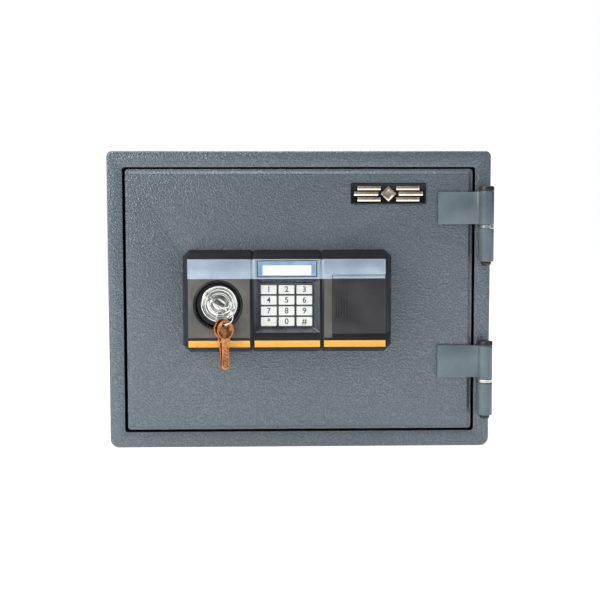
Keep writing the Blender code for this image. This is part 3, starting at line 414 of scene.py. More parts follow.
def hammered_enamel():
    """Hammered stoving enamel: low ridges round dimples under 2 mm across, with a clear gloss."""
    finish, tree, where = new_finish(
        "hammered_enamel_slate", 0.3, 0.3, Coat_Weight=0.3, Coat_Roughness=0.15,
    )
    dimple = 1.9 * MM
    drift = add(tree, "TexNoise", {"Vector": where, "Scale": 1 / (3 * MM), "Detail": 2.0})
    bent = add(tree, "VectorMath", {
        0: drift.outputs["Color"], 1: (1.4 * MM,) * 3, 2: where,
    }, operation="MULTIPLY_ADD")
    cells = add(tree, "TexVoronoi", {
        "Vector": bent.outputs["Vector"], "Scale": 1 / dimple, "Smoothness": 0.5,
    }, feature="SMOOTH_F1")
    fine = add(tree, "TexNoise", {"Vector": where, "Scale": 1 / (0.6 * MM), "Detail": 2.0})
    broad = add(tree, "TexNoise", {"Vector": where, "Scale": 1 / (60 * MM), "Detail": 2.0})
    ridge = add(tree, "MapRange", {
        "Value": cells.outputs["Distance"], "From Min": 0.15, "From Max": 0.75,
    })
    tone = add(tree, "ValToRGB", {"Fac": ridge.outputs["Result"]},
               stops=((0.0, "#49525b"), (1.0, "#606a72")))
    flake = add(tree, "MapRange", {
        "Value": fine.outputs["Fac"], "From Min": 0.35, "From Max": 0.7, "To Max": 0.25,
    })
    flaked = lay(tree, flake.outputs["Result"], tone.outputs["Color"], "#757f86")
    cloud = add(tree, "MapRange", {
        "Value": broad.outputs["Fac"], "From Min": 0.35, "From Max": 0.65, "To Max": 0.12,
    })
    clouded = lay(tree, cloud.outputs["Result"], flaked, "#49525b")
    # Rounded edges lighter: painted highlight, with some wear.
    colour = lay(tree, edge_highlight_and_wear(tree, 1.2 * MM, 0.3), clouded, "#98a1a7")
    hammered = add(tree, "Bump", {
        "Strength": 1.0, "Distance": 0.4 * MM, "Height": ridge.outputs["Result"],
    })
    return complete(
        finish, colour, fine.outputs["Fac"], 0.3, 0.05 * MM, under=hammered.outputs["Normal"],
        wear=fine.outputs["Fac"], gloss=(0.22, 0.38),
    )


def satin_enamel(name, dark, light, roughness=0.42):
    """Sprayed satin enamel on folded sheet: faint orange peel about a millimetre across."""
    finish, tree, where = new_finish(name, roughness, 0.0, 1.5, Coat_Weight=0.1)
    peel = add(tree, "TexNoise", {"Vector": where, "Scale": 1 / (1.1 * MM), "Detail": 2.0})
    dust = add(tree, "TexNoise", {"Vector": where, "Scale": 1 / (35 * MM), "Detail": 5.0})
    tone = add(tree, "ValToRGB", {"Fac": dust.outputs["Fac"]}, stops=((0.35, dark), (0.7, light)))
    # Rounded edges lighter: painted highlight, with some wear.
    colour = lay(tree, edge_highlight_and_wear(tree, 0.8 * MM, 0.4), tone.outputs["Color"], "#8c8f92")
    return complete(
        finish, colour, peel.outputs["Fac"], 0.3, 0.08 * MM,
        wear=dust.outputs["Fac"], gloss=(roughness - 0.1, roughness + 0.14),
    )


def moulded_abs(
    name, dark, light, roughness, grain=0.35 * MM, depth=0.035 * MM, metallic=0.0, sheen=0.5,
):
    """Moulded ABS with a fine spark-eroded grain; its rounded edges are painted lighter, a painted
    highlight with a little wear.
    """
    finish, tree, where = new_finish(
        name, roughness, metallic, 1.53, Specular_IOR_Level=sheen,
    )
    grit = add(tree, "TexNoise", {"Vector": where, "Scale": 1 / grain, "Detail": 3.0})
    handled = add(tree, "TexNoise", {"Vector": where, "Scale": 1 / (18 * MM), "Detail": 4.0})
    tone = add(tree, "ValToRGB", {"Fac": handled.outputs["Fac"]}, stops=((0.3, dark), (0.75, light)))
    # Rounded edges lighter grey: painted highlight, with a little wear.
    colour = lay(tree, edge_highlight_and_wear(tree, 0.5 * MM, 0.3), tone.outputs["Color"], "#6e747c")
    return complete(
        finish, colour, grit.outputs["Fac"], 0.5, depth,
        wear=handled.outputs["Fac"], gloss=(roughness - 0.08, roughness + 0.12),
    )


def silver_lacquer():
    """Metallic lacquer on ABS: fine aluminium flake gives a cool, soft sheen."""
    finish, tree, where = new_finish("silver_lacquer_abs", 0.38, 0.35, Coat_Weight=0.3)
    flake = add(tree, "TexVoronoi", {"Vector": where, "Scale": 1 / (0.25 * MM)})
    haze = add(tree, "TexNoise", {"Vector": where, "Scale": 1 / (22 * MM), "Detail": 3.0})
    tone = add(tree, "ValToRGB", {"Fac": haze.outputs["Fac"]},
               stops=((0.3, "#8497a8"), (0.7, "#9aaebb")))
    glint = add(tree, "MapRange", {
        "Value": flake.outputs["Distance"], "From Max": 0.8, "To Min": 0.25, "To Max": 0.0,
    })
    sparkled = lay(tree, glint.outputs["Result"], tone.outputs["Color"], "#c2ced6")
    # Rounded edges near white: painted highlight.
    colour = lay(tree, edge_highlight_and_wear(tree, 0.5 * MM, 0.6), sparkled, "#dfe8ee")
    return complete(
        finish, colour, flake.outputs["Distance"], 0.2, 0.02 * MM,
        wear=haze.outputs["Fac"], gloss=(0.3, 0.46),
    )


def key_lacquer():
    """Pale silver lacquer on the buttons, rubbed smooth by fingers."""
    finish, tree, where = new_finish("pale_silver_key_lacquer", 0.4, 0.1, Coat_Weight=0.2)
    grain = add(tree, "TexNoise", {"Vector": where, "Scale": 1 / (0.6 * MM), "Detail": 3.0})
    rub = add(tree, "TexNoise", {"Vector": where, "Scale": 1 / (7 * MM), "Detail": 2.0})
    tone = add(tree, "ValToRGB", {"Fac": rub.outputs["Fac"]},
               stops=((0.3, "#d3d9d6"), (0.75, "#e6eae8")))
    soil = add(tree, "MapRange", {
        "Value": grain.outputs["Fac"], "From Min": 0.4, "From Max": 0.75, "To Max": 0.2,
    })
    soiled = lay(tree, soil.outputs["Result"], tone.outputs["Color"], "#c9cfcc")
    # Rounded edges whiter: painted highlight, with some wear from fingers.
    colour = lay(tree, edge_highlight_and_wear(tree, 0.4 * MM, 0.25), soiled, "#ffffff")
    return complete(
        finish, colour, grain.outputs["Fac"], 0.3, 0.03 * MM,
        wear=rub.outputs["Fac"], gloss=(0.3, 0.5),
    )


def amber_lacquer():
    """Clear amber lacquer over a bright base, deep in the middle; its rounded edges are painted paler as a
    painted highlight.
    """
    finish, tree, where = new_finish("amber_lacquer_stripe", 0.3, 0.15, Coat_Weight=0.4)
    cloud = add(tree, "TexNoise", {"Vector": where, "Scale": 1 / (9 * MM), "Detail": 3.0})
    speck = add(tree, "TexNoise", {"Vector": where, "Scale": 1 / (0.7 * MM), "Detail": 2.0})
    tone = add(tree, "ValToRGB", {"Fac": cloud.outputs["Fac"]},
               stops=((0.3, "#dd9c22"), (0.75, "#e8ab36")))
    sparse = add(tree, "MapRange", {
        "Value": speck.outputs["Fac"], "From Min": 0.45, "From Max": 0.7, "To Max": 0.25,
    })
    speckled = lay(tree, sparse.outputs["Result"], tone.outputs["Color"], "#ffd274")
    # Rounded edges paler: painted highlight.
    colour = lay(tree, edge_highlight_and_wear(tree, 0.9 * MM, 0.8), speckled, "#ffdc8c")
    return complete(
        finish, colour, speck.outputs["Fac"], 0.15, 0.03 * MM,
        wear=cloud.outputs["Fac"], gloss=(0.22, 0.4),
    )


def plated(name, dull, bright, roughness, scratch=0.12, edge="#ffffff"):
    """Plated or solid metal with fine hairlines and a little tarnish."""
    finish, tree, where = new_finish(name, roughness, 1.0)
    stretched = add(tree, "Mapping", {"Vector": where, "Scale": (1.0, 1.0, 0.12)})
    hair = add(tree, "TexNoise", {
        "Vector": stretched.outputs["Vector"], "Scale": 1 / (0.3 * MM), "Detail": 4.0,
    })
    tarnish = add(tree, "TexNoise", {"Vector": where, "Scale": 1 / (6 * MM), "Detail": 5.0})
    tone = add(tree, "ValToRGB", {"Fac": tarnish.outputs["Fac"]}, stops=((0.3, dull), (0.7, bright)))
    # Rounded edges in the edge colour, white by default: painted highlight, with some wear.
    colour = lay(tree, edge_highlight_and_wear(tree, 0.4 * MM, 0.5), tone.outputs["Color"], edge)
    return complete(
        finish, colour, hair.outputs["Fac"], 0.15, 0.02 * MM,
        wear=hair.outputs["Fac"], spread=(0.3, 0.7), gloss=(roughness * 0.7, roughness + scratch),
    )


def display_bezel():
    """Pale blue tinted surround moulded into the display's window."""
    finish, tree, where = new_finish("blue_tinted_acrylic", 0.2, 0.0, 1.49, Coat_Weight=0.5)
    haze = add(tree, "TexNoise", {"Vector": where, "Scale": 1 / (12 * MM), "Detail": 3.0})
    speck = add(tree, "TexNoise", {"Vector": where, "Scale": 1 / (0.5 * MM), "Detail": 2.0})
    tone = add(tree, "ValToRGB", {"Fac": haze.outputs["Fac"]},
               stops=((0.3, "#6c90b0"), (0.7, "#84a6c2")))
    # Rounded edges near white: painted highlight.
    colour = lay(tree, edge_highlight_and_wear(tree, 0.4 * MM, 0.7), tone.outputs["Color"], "#dcecf6")
    return complete(
        finish, colour, speck.outputs["Fac"], 0.1, 0.02 * MM,
        wear=speck.outputs["Fac"], gloss=(0.14, 0.3),
    )


def lit_display():
    """Liquid crystal panel with its back light on: nearly white, faintly green, with fine lines."""
    finish, tree, where = new_finish("backlit_display_panel", 0.18, 0.0, 1.52, Emission_Strength=0.2)
    lines = add(tree, "TexWave", {
        "Vector": where, "Scale": 1 / (1.2 * MM) / math.tau, "Distortion": 0.0,
    }, bands_direction="X")
    cloud = add(tree, "TexNoise", {"Vector": where, "Scale": 1 / (14 * MM), "Detail": 2.0})
    tone = add(tree, "ValToRGB", {"Fac": cloud.outputs["Fac"]},
               stops=((0.3, "#dcf8fb"), (0.7, "#f4fffc")))
    faint = add(tree, "MapRange", {"Value": lines.outputs["Fac"], "To Max": 0.06})
    colour = lay(tree, faint.outputs["Result"], tone.outputs["Color"], "#b9d9de")
    connect(tree, Emission_Color=colour)
    return complete(finish, colour, cloud.outputs["Fac"], 0.05, 0.02 * MM)


def printed_ink():
    """Dark grey pad-printed figures, slightly broken in their edges."""
    finish, tree, where = new_finish("dark_grey_print", 0.55)
    grain = add(tree, "TexNoise", {"Vector": where, "Scale": 1 / (0.25 * MM), "Detail": 2.0})
    tone = add(tree, "ValToRGB", {"Fac": grain.outputs["Fac"]},
               stops=((0.35, "#272c2d"), (0.75, "#454b4c")))
    return complete(finish, tone.outputs["Color"], grain.outputs["Fac"], 0.2, 0.02 * MM)


def cast_filling():
    """Foamed cement filling with pores up to 2 mm across."""
    finish, tree, where = new_finish("foamed_cement", 0.9)
    pores = add(tree, "TexVoronoi", {"Vector": where, "Scale": 1 / (2.5 * MM)})
    sand = add(tree, "TexNoise", {"Vector": where, "Scale": 1 / (0.8 * MM), "Detail": 5.0})
    tone = add(tree, "ValToRGB", {"Fac": sand.outputs["Fac"]},
               stops=((0.3, "#a39f95"), (0.7, "#cbc7bc")))
    # Pores painted darker: painted shade inside the pore hollows.
    pore_shade = add(tree, "MapRange", {
        "Value": pores.outputs["Distance"], "From Max": 0.3, "To Min": 0.7, "To Max": 0.0,
    })
    colour = lay(tree, pore_shade.outputs["Result"], tone.outputs["Color"], "#6f6c66")
    return complete(finish, colour, pores.outputs["Distance"], 0.7, 0.5 * MM)


def swelling_strip():
    """Graphite fire strip: a matt ribbed felt."""
    finish, tree, where = new_finish("graphite_fire_strip", 0.85)
    fibre = add(tree, "TexNoise", {
        "Vector": where, "Scale": 1 / (0.7 * MM), "Detail": 4.0, "Distortion": 1.2,
    })
    tone = add(tree, "ValToRGB", {"Fac": fibre.outputs["Fac"]},
               stops=((0.3, "#29221f"), (0.7, "#4d413b")))
    return complete(finish, tone.outputs["Color"], fibre.outputs["Fac"], 0.6, 0.2 * MM)


def circuit_laminate():
    """Green solder mask with bright tracks on a 2.5 mm pitch."""
    finish, tree, where = new_finish("green_solder_mask", 0.35, 0.0, 1.5, Coat_Weight=0.4)
    tracks = add(tree, "TexBrick", {
        "Vector": where, "Color1": shade("#0e4a2b"), "Color2": shade("#12593a"),
        "Mortar": shade("#2f7d55"), "Scale": 1 / (10 * MM), "Mortar Size": 0.03,
    })
    cloud = add(tree, "TexNoise", {"Vector": where, "Scale": 1 / (4 * MM), "Detail": 3.0})
    return complete(
        finish, tracks.outputs["Color"], tracks.outputs["Fac"], 0.3, 0.04 * MM,
        wear=cloud.outputs["Fac"], gloss=(0.25, 0.45),
    )


def cell_sleeve():
    """Printed foil sleeve of a round cell: dark with a coppery end, split across its length."""
    finish, tree, where = new_finish("foil_cell_sleeve", 0.28, 0.6, 1.5, Coat_Weight=0.5)
    place = add(tree, "SeparateXYZ", {"Vector": where})
    low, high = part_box("battery_1")
    share = add(tree, "MapRange", {
        "Value": place.outputs["X"], "From Min": low.x, "From Max": high.x,
    })
    tone = add(tree, "ValToRGB", {"Fac": share.outputs["Result"]},
               stops=((0.26, "#b26f35"), (0.28, "#1c1d20")))
    scuff = add(tree, "TexNoise", {"Vector": where, "Scale": 1 / (1.5 * MM), "Detail": 4.0})
    return complete(
        finish, tone.outputs["Color"], scuff.outputs["Fac"], 0.15, 0.03 * MM,
        wear=scuff.outputs["Fac"], gloss=(0.2, 0.42),
    )


def paper_sweep():
    """White studio paper, lit from below so that it stays white far from the lamps."""
    finish, tree, where = new_finish(
        "white_studio_paper", 0.9, Emission_Color=shade("#ffffff"), Emission_Strength=0.68,
    )
    fibre = add(tree, "TexNoise", {"Vector": where, "Scale": 1 / (30 * MM), "Detail": 4.0})
    tone = add(tree, "ValToRGB", {"Fac": fibre.outputs["Fac"]},
               stops=((0.3, "#fafafa"), (0.7, "#fcfcfc")))
    connect(tree, Base_Color=tone.outputs["Color"])
    return finish


ENAMEL = hammered_enamel()
HINGE_ENAMEL = satin_enamel("green_grey_hinge_enamel", "#4c5a60", "#617077", 0.3)
JAMB_ENAMEL = satin_enamel("black_satin_enamel", "#141517", "#222427")
LINER_ENAMEL = satin_enamel("grey_satin_enamel", "#5d656b", "#717a80", 0.45)
HOUSING_ABS = moulded_abs("black_moulded_abs", "#0c0f14", "#151920", 0.36, sheen=0.28)
POCKET_GREY = moulded_abs("silver_grey_lacquer_abs", "#3b4045", "#555b61", 0.26, metallic=0.7)
PANEL_ABS = moulded_abs("grey_moulded_abs", "#474644", "#5b5a57", 0.45)
COVER_ABS = moulded_abs("charcoal_moulded_abs", "#212124", "#2d2d30", 0.42, sheen=0.35)
DISH_ABS = moulded_abs("gloss_black_abs", "#08090b", "#0f1115", 0.16, depth=0.01 * MM, sheen=0.3)
SILVER = silver_lacquer()
KEY_SILVER = key_lacquer()
AMBER = amber_lacquer()
CHROME = plated("polished_chrome_plate", "#c9cbca", "#e8e9e7", 0.07, 0.06)
STEEL = plated("ground_steel", "#8a8c8d", "#a9abab", 0.26)
NICKEL = plated("nickel_plated_key", "#b9bcba", "#d8dad6", 0.16)
BRONZE = plated("copper_plated_key", "#8a5530", "#cf9060", 0.18, 0.12, "#f3c795")
GOLD_WASH = plated("pale_gold_plate", "#ead9c4", "#fff4e4", 0.14)
BEZEL = display_bezel()
SCREEN = lit_display()
INK = printed_ink()
FILLING = cast_filling()
FIRE_STRIP = swelling_strip()
RUBBER = moulded_abs("black_silicone_rubber", "#1b1b1c", "#29292a", 0.7, 0.6 * MM, 0.05 * MM)
LAMINATE = circuit_laminate()
SLEEVE = cell_sleeve()


# ---- Cabinet ------------------------------------------------------------------------------

def cabinet_sheets():
    """Shell, jamb, liner and shelf keep their shape and get rounded, painted edges."""
    work = (
        ("outer_shell", ENAMEL, "grey_paint", 0.5),
        ("door_jamb", JAMB_ENAMEL, "dark_paint", 0.5),
        ("inner_liner", LINER_ENAMEL, "grey_paint", 0.3),
        ("shelf", LINER_ENAMEL, "grey_paint", 0.3),
    )
    for node, finish, slot, radius in work:
        fit(reworked(node, radius * MM), finish, "cabinet", slot, node)


def back_wall():
    """Back sheet with a pressed field, and six screw heads set just under its surface."""
    low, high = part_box("back_panel")
    sheet = block("back_sheet", low, high)
    push_field(
        sheet, lambda middle, normal: normal.y > 0.9, (22 * MM, 1.6 * MM), -0.9 * MM,
    )
    round_corners(sheet, 5 * MM, 5)
    round_edges(sheet, 0.3 * MM, limit=20)
    fit(sheet, ENAMEL, "cabinet", "grey_paint", "back_panel")
    screw = back_screw(high.y)
    margin = 11 * MM
    half = (high.x - low.x) / 2 - margin
    middle = (low.z + high.z) / 2
    rise = (high.z - low.z) / 2 - margin
    places = [(side * half, level) for side in (-1, 1) for level in (-rise, 0, rise)]
    for index, (x, z) in enumerate(places):
        fit(copied(screw, f"back_screw_{index + 1}", (x, 0, middle + z)), STEEL, "cabinet", "steel")
    bpy.data.objects.remove(screw)


def back_screw(surface):
    """A flat screw head with a cross recess; its top lies 0.02 mm under the surface."""
    reach = 2.2 * MM
    half = 0.45 * MM
    deep = surface - 0.45 * MM
    head = rod("screw", "Y", (0, surface - 0.5 * MM, 0), (0, surface - 0.02 * MM, 0), 3.6 * MM, 28)
    for angle in (0, 90):
        slot = block(f"screw_slot_{angle}", (-reach, deep, -half), (reach, surface + MM, half))
        combine(head, turn(slot, angle, "Y"))
    return round_edges(head, 0.08 * MM)


def hinges():
    """Upper and lower hinge: leaf on the door, knuckle on the cabinet, pin and washer."""
    for end in ("upper", "lower"):
        pin_low, pin_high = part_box(f"hinge_pin_{end}")
        centre = (pin_low + pin_high) / 2
        radius = (pin_high.x - pin_low.x) / 2
        for kind, body in (("leaf", "door"), ("knuckle", "cabinet")):
            node = f"hinge_{kind}_{end}"
            part = reworked(node, 0.45 * MM)
            low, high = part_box(node)
            ring_cut(part, centre, radius, high.z - 3.0 * MM)
            if kind == "leaf":
                crease = centre.x - radius - 0.3 * MM
                width = 0.9 * MM
                depth = 3.2 * MM
                combine(part, block(
                    "crease_tool", (crease - width, low.y - MM, low.z - MM),
                    (crease, centre.y - radius + depth, high.z + MM),
                ))
            smooth(part, 40)
            fit(part, HINGE_ENAMEL, body, "grey_paint", node)
        hinge_cap(end, centre, radius, pin_high.z)
        hinge_washer(end, centre, radius)


def ring_cut(part, centre, radius, height):
    """A turned line round the barrel."""
    half = 0.25 * MM
    deep = radius - 0.3 * MM
    out = radius + 0.15 * MM
    tool = turned("ring_tool", "Z", (centre.x, centre.y, 0), (
        (deep, height), (out, height + half), (out, height - half), (deep, height),
    ), 48)
    combine(part, tool)


def hinge_cap(end, centre, radius, top):
    """Pin with a domed black head and a round tip below."""
    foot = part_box(f"hinge_pin_{end}")[0].z
    shank = 3.8 * MM
    tip = 5.4 * MM
    gap = 0.2 * MM
    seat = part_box(f"hinge_leaf_{end}")[1].z + gap
    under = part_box(f"hinge_knuckle_{end}")[0].z - gap
    pin = turned(f"hinge_pin_{end}_turned", "Z", (centre.x, centre.y, 0), (
        (0, foot), (tip - 2.4 * MM, foot + 0.2 * MM), (tip - 1.0 * MM, foot + 1.0 * MM),
        (tip - 0.2 * MM, foot + 2.2 * MM), (tip, under - 0.6 * MM), (tip - 0.4 * MM, under),
        (shank, under), (shank, seat), (radius - 0.3 * MM, seat), (radius, seat + 0.3 * MM),
        (radius, top - 1.6 * MM), (radius - 0.4 * MM, top - 0.8 * MM),
        (radius - 1.2 * MM, top - 0.25 * MM), (radius - 3 * MM, top), (0, top),
    ), 40)
    fit(smooth(pin, 40), JAMB_ENAMEL, "cabinet", "dark_paint", f"hinge_pin_{end}")


def hinge_washer(end, centre, radius):
    """Bright washer between the barrels, with a groove round its middle."""
    low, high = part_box(f"hinge_washer_{end}")
    middle = (low.z + high.z) / 2
    inner = 4.3 * MM
    edge = 0.4 * MM
    groove = 0.3 * MM
    washer = turned(f"hinge_washer_{end}_turned", "Z", (centre.x, centre.y, 0), (
        (inner, low.z), (radius - edge, low.z), (radius, low.z + edge),
        (radius, middle - groove), (radius - groove, middle), (radius, middle + groove),
        (radius, high.z - edge), (radius - edge, high.z), (inner, high.z), (inner, low.z),
    ), 48)
    fit(smooth(washer), NICKEL, "cabinet", "steel", f"hinge_washer_{end}")


# ---- Door ---------------------------------------------------------------------------------

def door_sheets():
    """Outer plate and inner board of the door."""
    fit(reworked("door_outer_panel", 0.7 * MM, 3), ENAMEL, "door", "grey_paint", "door_outer_panel")
    fit(reworked("door_inner_panel", 0.5 * MM), ENAMEL, "door", "grey_paint", "door_inner_panel")


def nameplate():
    """Black plate with a raised bright ornament: a lozenge between stepped bars."""
    low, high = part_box("nameplate")
    plate = block("nameplate_plate", low, high)
    push_field(plate, faces_front, (0.9 * MM, 0.3 * MM), 0.35 * MM)
    round_corners(plate, 1.2 * MM, 4)
    round_edges(plate, 0.12 * MM, limit=25)
    fit(plate, DISH_ABS, "door", "black_plastic", "nameplate")
    ornament(low, high)


def ornament(low, high):
    """Bars that shorten away from the middle line, and a lozenge with a sunk heart."""
    middle = (low + high) / 2
    front = low.y + 0.02 * MM
    back = low.y + 0.5 * MM
    outer = (high.x - low.x) / 2 - 3.4 * MM
    half = 2.1 * MM
    pitch = 6.0 * MM
    gap = 11.0 * MM
    step = 2.6 * MM
    bars = []
    for row, reach in ((-1, 0.9), (0, 1.0), (1, 0.9)):
        height = middle.z + row * pitch
        for side in (-1, 1):
            near = middle.x + side * (gap - step * abs(row))
            far = middle.x + side * outer * reach
            bar = block(
                f"bar_{row}_{side}", (min(near, far), front, height - half),
                (max(near, far), back, height + half),
            )
            bars.append(bar)
    size = 5.8 * MM
    lozenge = block(
        "lozenge", (middle.x - size, front, middle.z - size), (middle.x + size, back, middle.z + size),
    )
    turn(lozenge, 45, "Y", middle)
    push_field(lozenge, faces_front, (2.6 * MM,), 0.3 * MM)
    badge = round_edges(joined("nameplate_ornament", bars + [lozenge]), 0.15 * MM)
    fit(badge, GOLD_WASH, "door", "chrome")


# ---- Lock housing -------------------------------------------------------------------------

# Two upright grooves part the housing's face into three fields.
LEFT_GROOVE = (-52.4 * MM, -47.8 * MM)
RIGHT_GROOVE = (20.0 * MM, 24.7 * MM)


def housing():
    """Moulded cover; its keypad pocket is lacquered silver grey inside."""
    cover = reworked("lock_housing", 0.3 * MM)
    fit(cover, HOUSING_ABS, "door", "black_plastic", "lock_housing")
    cover.data.materials.append(POCKET_GREY)
    low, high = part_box("keypad_mat")
    low = low - Vector((6 * MM, 0, 5 * MM))
    high = high + Vector((8 * MM, 0, 5 * MM))
    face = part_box("lock_housing")[0].y
    for polygon in cover.data.polygons:
        depth = polygon.center.y - face
        if within(polygon.center, low, high) and 0.1 * MM < depth < 8 * MM:
            polygon.material_index = 1


def face_panels():
    """Grey field round the key lock, and the strip beside the battery cover."""
    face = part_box("lock_housing")[0].y
    trim_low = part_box("silver_trim")[0]
    mouth = centre_of("lock_escutcheon")
    head = trim_low.z - 0.4 * MM
    foot = head - 60.7 * MM
    clearance = 26.0 * MM
    fields = (
        ("lock_field", trim_low.x + 0.4 * MM, LEFT_GROOVE[0] - 0.2 * MM),
        ("cover_field", RIGHT_GROOVE[1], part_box("battery_cover")[0].x - 0.3 * MM),
    )
    for name, left, right in fields:
        field = block(name, (left, face - 0.25 * MM, foot), (right, face + 0.1 * MM, head))
        if name == "lock_field":
            hole = rod(
                "field_tool", "Y", (mouth.x, face - 5 * MM, mouth.z), (mouth.x, face + 5 * MM, mouth.z),
                clearance, 64,
            )
            combine(field, hole)
        fit(round_edges(field, 0.12 * MM), PANEL_ABS, "door", "black_plastic")


def silver_band():
    """Silver band with a fine raised line round each of its three fields."""
    band = reworked("silver_trim", 0.2 * MM)
    fit(band, SILVER, "door", "silver_plastic", "silver_trim")
    low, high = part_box("silver_trim")
    cover_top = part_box("battery_cover")[1].z
    margin = 0.3 * MM
    wide = 0.9 * MM
    foot = low.z + margin
    head = high.z - margin
    fields = (
        ("left", low.x + margin, LEFT_GROOVE[0], foot),
        ("middle", LEFT_GROOVE[1], RIGHT_GROOVE[0] - 0.1 * MM, foot),
        ("right", RIGHT_GROOVE[1] + 0.1 * MM, high.x - margin, cover_top + 0.5 * MM),
    )
    for name, left, right, bottom in fields:
        line = block(
            f"band_line_{name}", (left, low.y - 0.2 * MM, bottom), (right, low.y + 0.1 * MM, head),
        )
        inner = block(
            "line_tool", (left + wide, low.y - MM, bottom + wide), (right - wide, low.y + MM, head - wide),
        )
        combine(line, inner)
        fit(round_edges(line, 0.12 * MM), SILVER, "door", "silver_plastic")


def display():
    """Tinted surround that slopes in to a bright panel."""
    low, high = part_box("display_window")
    panel_low = Vector((-39.2 * MM, 0, 188.6 * MM))
    panel_high = Vector((11.3 * MM, 0, 198.6 * MM))
    bezel = block("display_bezel", low, high)
    push_field(bezel, faces_front, (0.7 * MM, 0.5 * MM), 0.4 * MM)
    push_field(
        bezel,
        lambda middle, normal: faces_front(middle, normal) and middle.y > low.y + 0.3 * MM,
        (0.4 * MM,), 0,
    )
    margin = Vector((1.6 * MM, 0, 1.6 * MM))
    field_low = low + margin
    field_high = high - margin
    pick(bezel, "FACE", lambda middle, normal: faces_front(middle, normal)
         and middle.y > low.y + 0.3 * MM and within(middle, field_low, field_high))
    panel = panel_high - panel_low
    field = field_high - field_low
    shift = (panel_low + panel_high - field_low - field_high) / 2
    bpy.ops.transform.resize(value=(panel.x / field.x, 1, panel.z / field.z))
    bpy.ops.transform.translate(value=(shift.x, 0.3 * MM, shift.z))
    leave(bezel)
    smooth(bezel, 20)
    fit(bezel, BEZEL, "door", "display", "display_window")
    # The bezel's outer half millimetre gets black ABS: a painted shade line for the gap round the window.
    bezel.data.materials.append(HOUSING_ABS)
    rim = Vector((0.5 * MM, 0, 0.5 * MM))
    for polygon in bezel.data.polygons:
        if not within(polygon.center, low + rim, high - rim):
            polygon.material_index = 1
    depth = low.y + 0.7 * MM
    gap = 0.1 * MM
    glass = block(
        "display_panel", (panel_low.x + gap, depth - 0.15 * MM, panel_low.z + gap),
        (panel_high.x - gap, depth + 0.1 * MM, panel_high.z - gap),
    )
    fit(round_edges(glass, 0.1 * MM), SCREEN, "door", "display")


def stripes():
    """Three amber stripes along the foot of the housing, each in its own field."""
    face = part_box("lock_housing")[0].y
    foot = 113.7 * MM
    head = 120.4 * MM
    fields = (
        ("left", -116.4 * MM, LEFT_GROOVE[0] - 0.4 * MM),
        ("middle", LEFT_GROOVE[1], RIGHT_GROOVE[0] + 0.1 * MM),
        ("right", RIGHT_GROOVE[1] - 0.2 * MM, 88.5 * MM),
    )
    for name, left, right in fields:
        stripe = block(
            f"amber_stripe_{name}", (left, face - 0.5 * MM, foot), (right, face + 0.2 * MM, head),
        )
        push_field(stripe, faces_front, (0.9 * MM,), 0.25 * MM)
        fit(round_edges(stripe, 0.25 * MM, 3, 15), AMBER, "door")


def battery_cover():
    """Sliding cover with the piece of the silver band that it carries."""
    cover = reworked("battery_cover", 0.25 * MM)
    fit(cover, COVER_ABS, "battery_cover", "black_plastic", "battery_cover")
    strip = reworked("cover_strip", 0.15 * MM)
    fit(strip, SILVER, "battery_cover", "silver_plastic", "cover_strip")


def buttons():
    """One button is shaped, then copied twelve times; each gets its own printed figure."""
    names = ("1", "2", "3", "4", "5", "6", "7", "8", "9", "star", "0", "hash")
    figures = {"star": "*", "hash": "#"}
    low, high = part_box("key_5")
    middle = (low + high) / 2
    flange = 0.6 * MM
    letter = 8.4 * MM
    cap = block(
        "button", (low.x + flange, low.y, low.z + flange), (high.x - flange, high.y - MM, high.z - flange),
    )
    push_field(cap, faces_front, (1.9 * MM,), 0.12 * MM)
    round_corners(cap, 0.8 * MM, 4)
    round_edges(cap, 0.35 * MM, 3, 40)
    for name in names:
        node = f"key_{name}"
        place = centre_of(node)
        button = copied(cap, f"button_{name}", place - middle)
        fit(button, KEY_SILVER, node, "key_plastic", node)
        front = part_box(node)[0].y + 0.1 * MM
        spot = (place.x, front, place.z)
        fit(printed(f"figure_{name}", figures.get(name, name), letter, spot), INK, node)
    bpy.data.objects.remove(cap)


def printed(name, text, size, place):
    """A raised figure facing the front."""
    deselect_all()
    bpy.ops.object.text_add()
    words = bpy.context.object
    words.data.body = text
    words.data.size = size
    words.data.align_x = "CENTER"
    words.data.align_y = "CENTER"
    words.data.extrude = 0.04 * MM
    words.data.offset = 0.12 * MM
    bpy.ops.object.convert(target="MESH")
    figure = bpy.context.object
    bpy.ops.object.mode_set(mode="EDIT")
    bpy.ops.mesh.select_all(action="SELECT")
    bpy.ops.mesh.remove_doubles(threshold=MM / 1000)
    bpy.ops.object.mode_set(mode="OBJECT")
    figure.rotation_euler = (math.pi / 2, 0, 0)
    figure.location = place
    return settle(name)


# ---- Key lock -----------------------------------------------------------------------------

def lock_dish():
    """Gloss black cup that narrows to the collar, which sits a little off its middle."""
    low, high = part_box("lock_escutcheon")
    mouth = (low + high) / 2
    outer = (high.x - low.x) / 2
    collar_low, collar_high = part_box("lock_collar")
    lock = (collar_low + collar_high) / 2
    bore = (collar_high.x - collar_low.x) / 2 + 0.4 * MM
    hidden = bore - 3 * MM
    rim = low.y
    floor = collar_low.y + 3.0 * MM
    dish = turned("lock_dish", "Y", (mouth.x, 0, mouth.z), (
        (hidden, high.y), (outer, high.y), (outer, rim + 0.7 * MM), (outer - 0.2 * MM, rim + 0.2 * MM),
        (outer - 0.6 * MM, rim), (outer - 1.2 * MM, rim + 0.05 * MM),
        (outer - 1.7 * MM, rim + 0.6 * MM), (outer - 2.5 * MM, rim + 2.8 * MM),
        (outer - 3.3 * MM, floor - 0.5 * MM), (outer - 3.7 * MM, floor), (hidden, floor),
        (hidden, high.y),
    ), 96)
    tool = rod(
        "dish_tool", "Y", (lock.x, rim - 5 * MM, lock.z), (lock.x, high.y + 5 * MM, lock.z), bore, 96,
    )
    combine(dish, tool)
    fit(smooth(dish, 30), DISH_ABS, "door", "black_plastic", "lock_escutcheon")


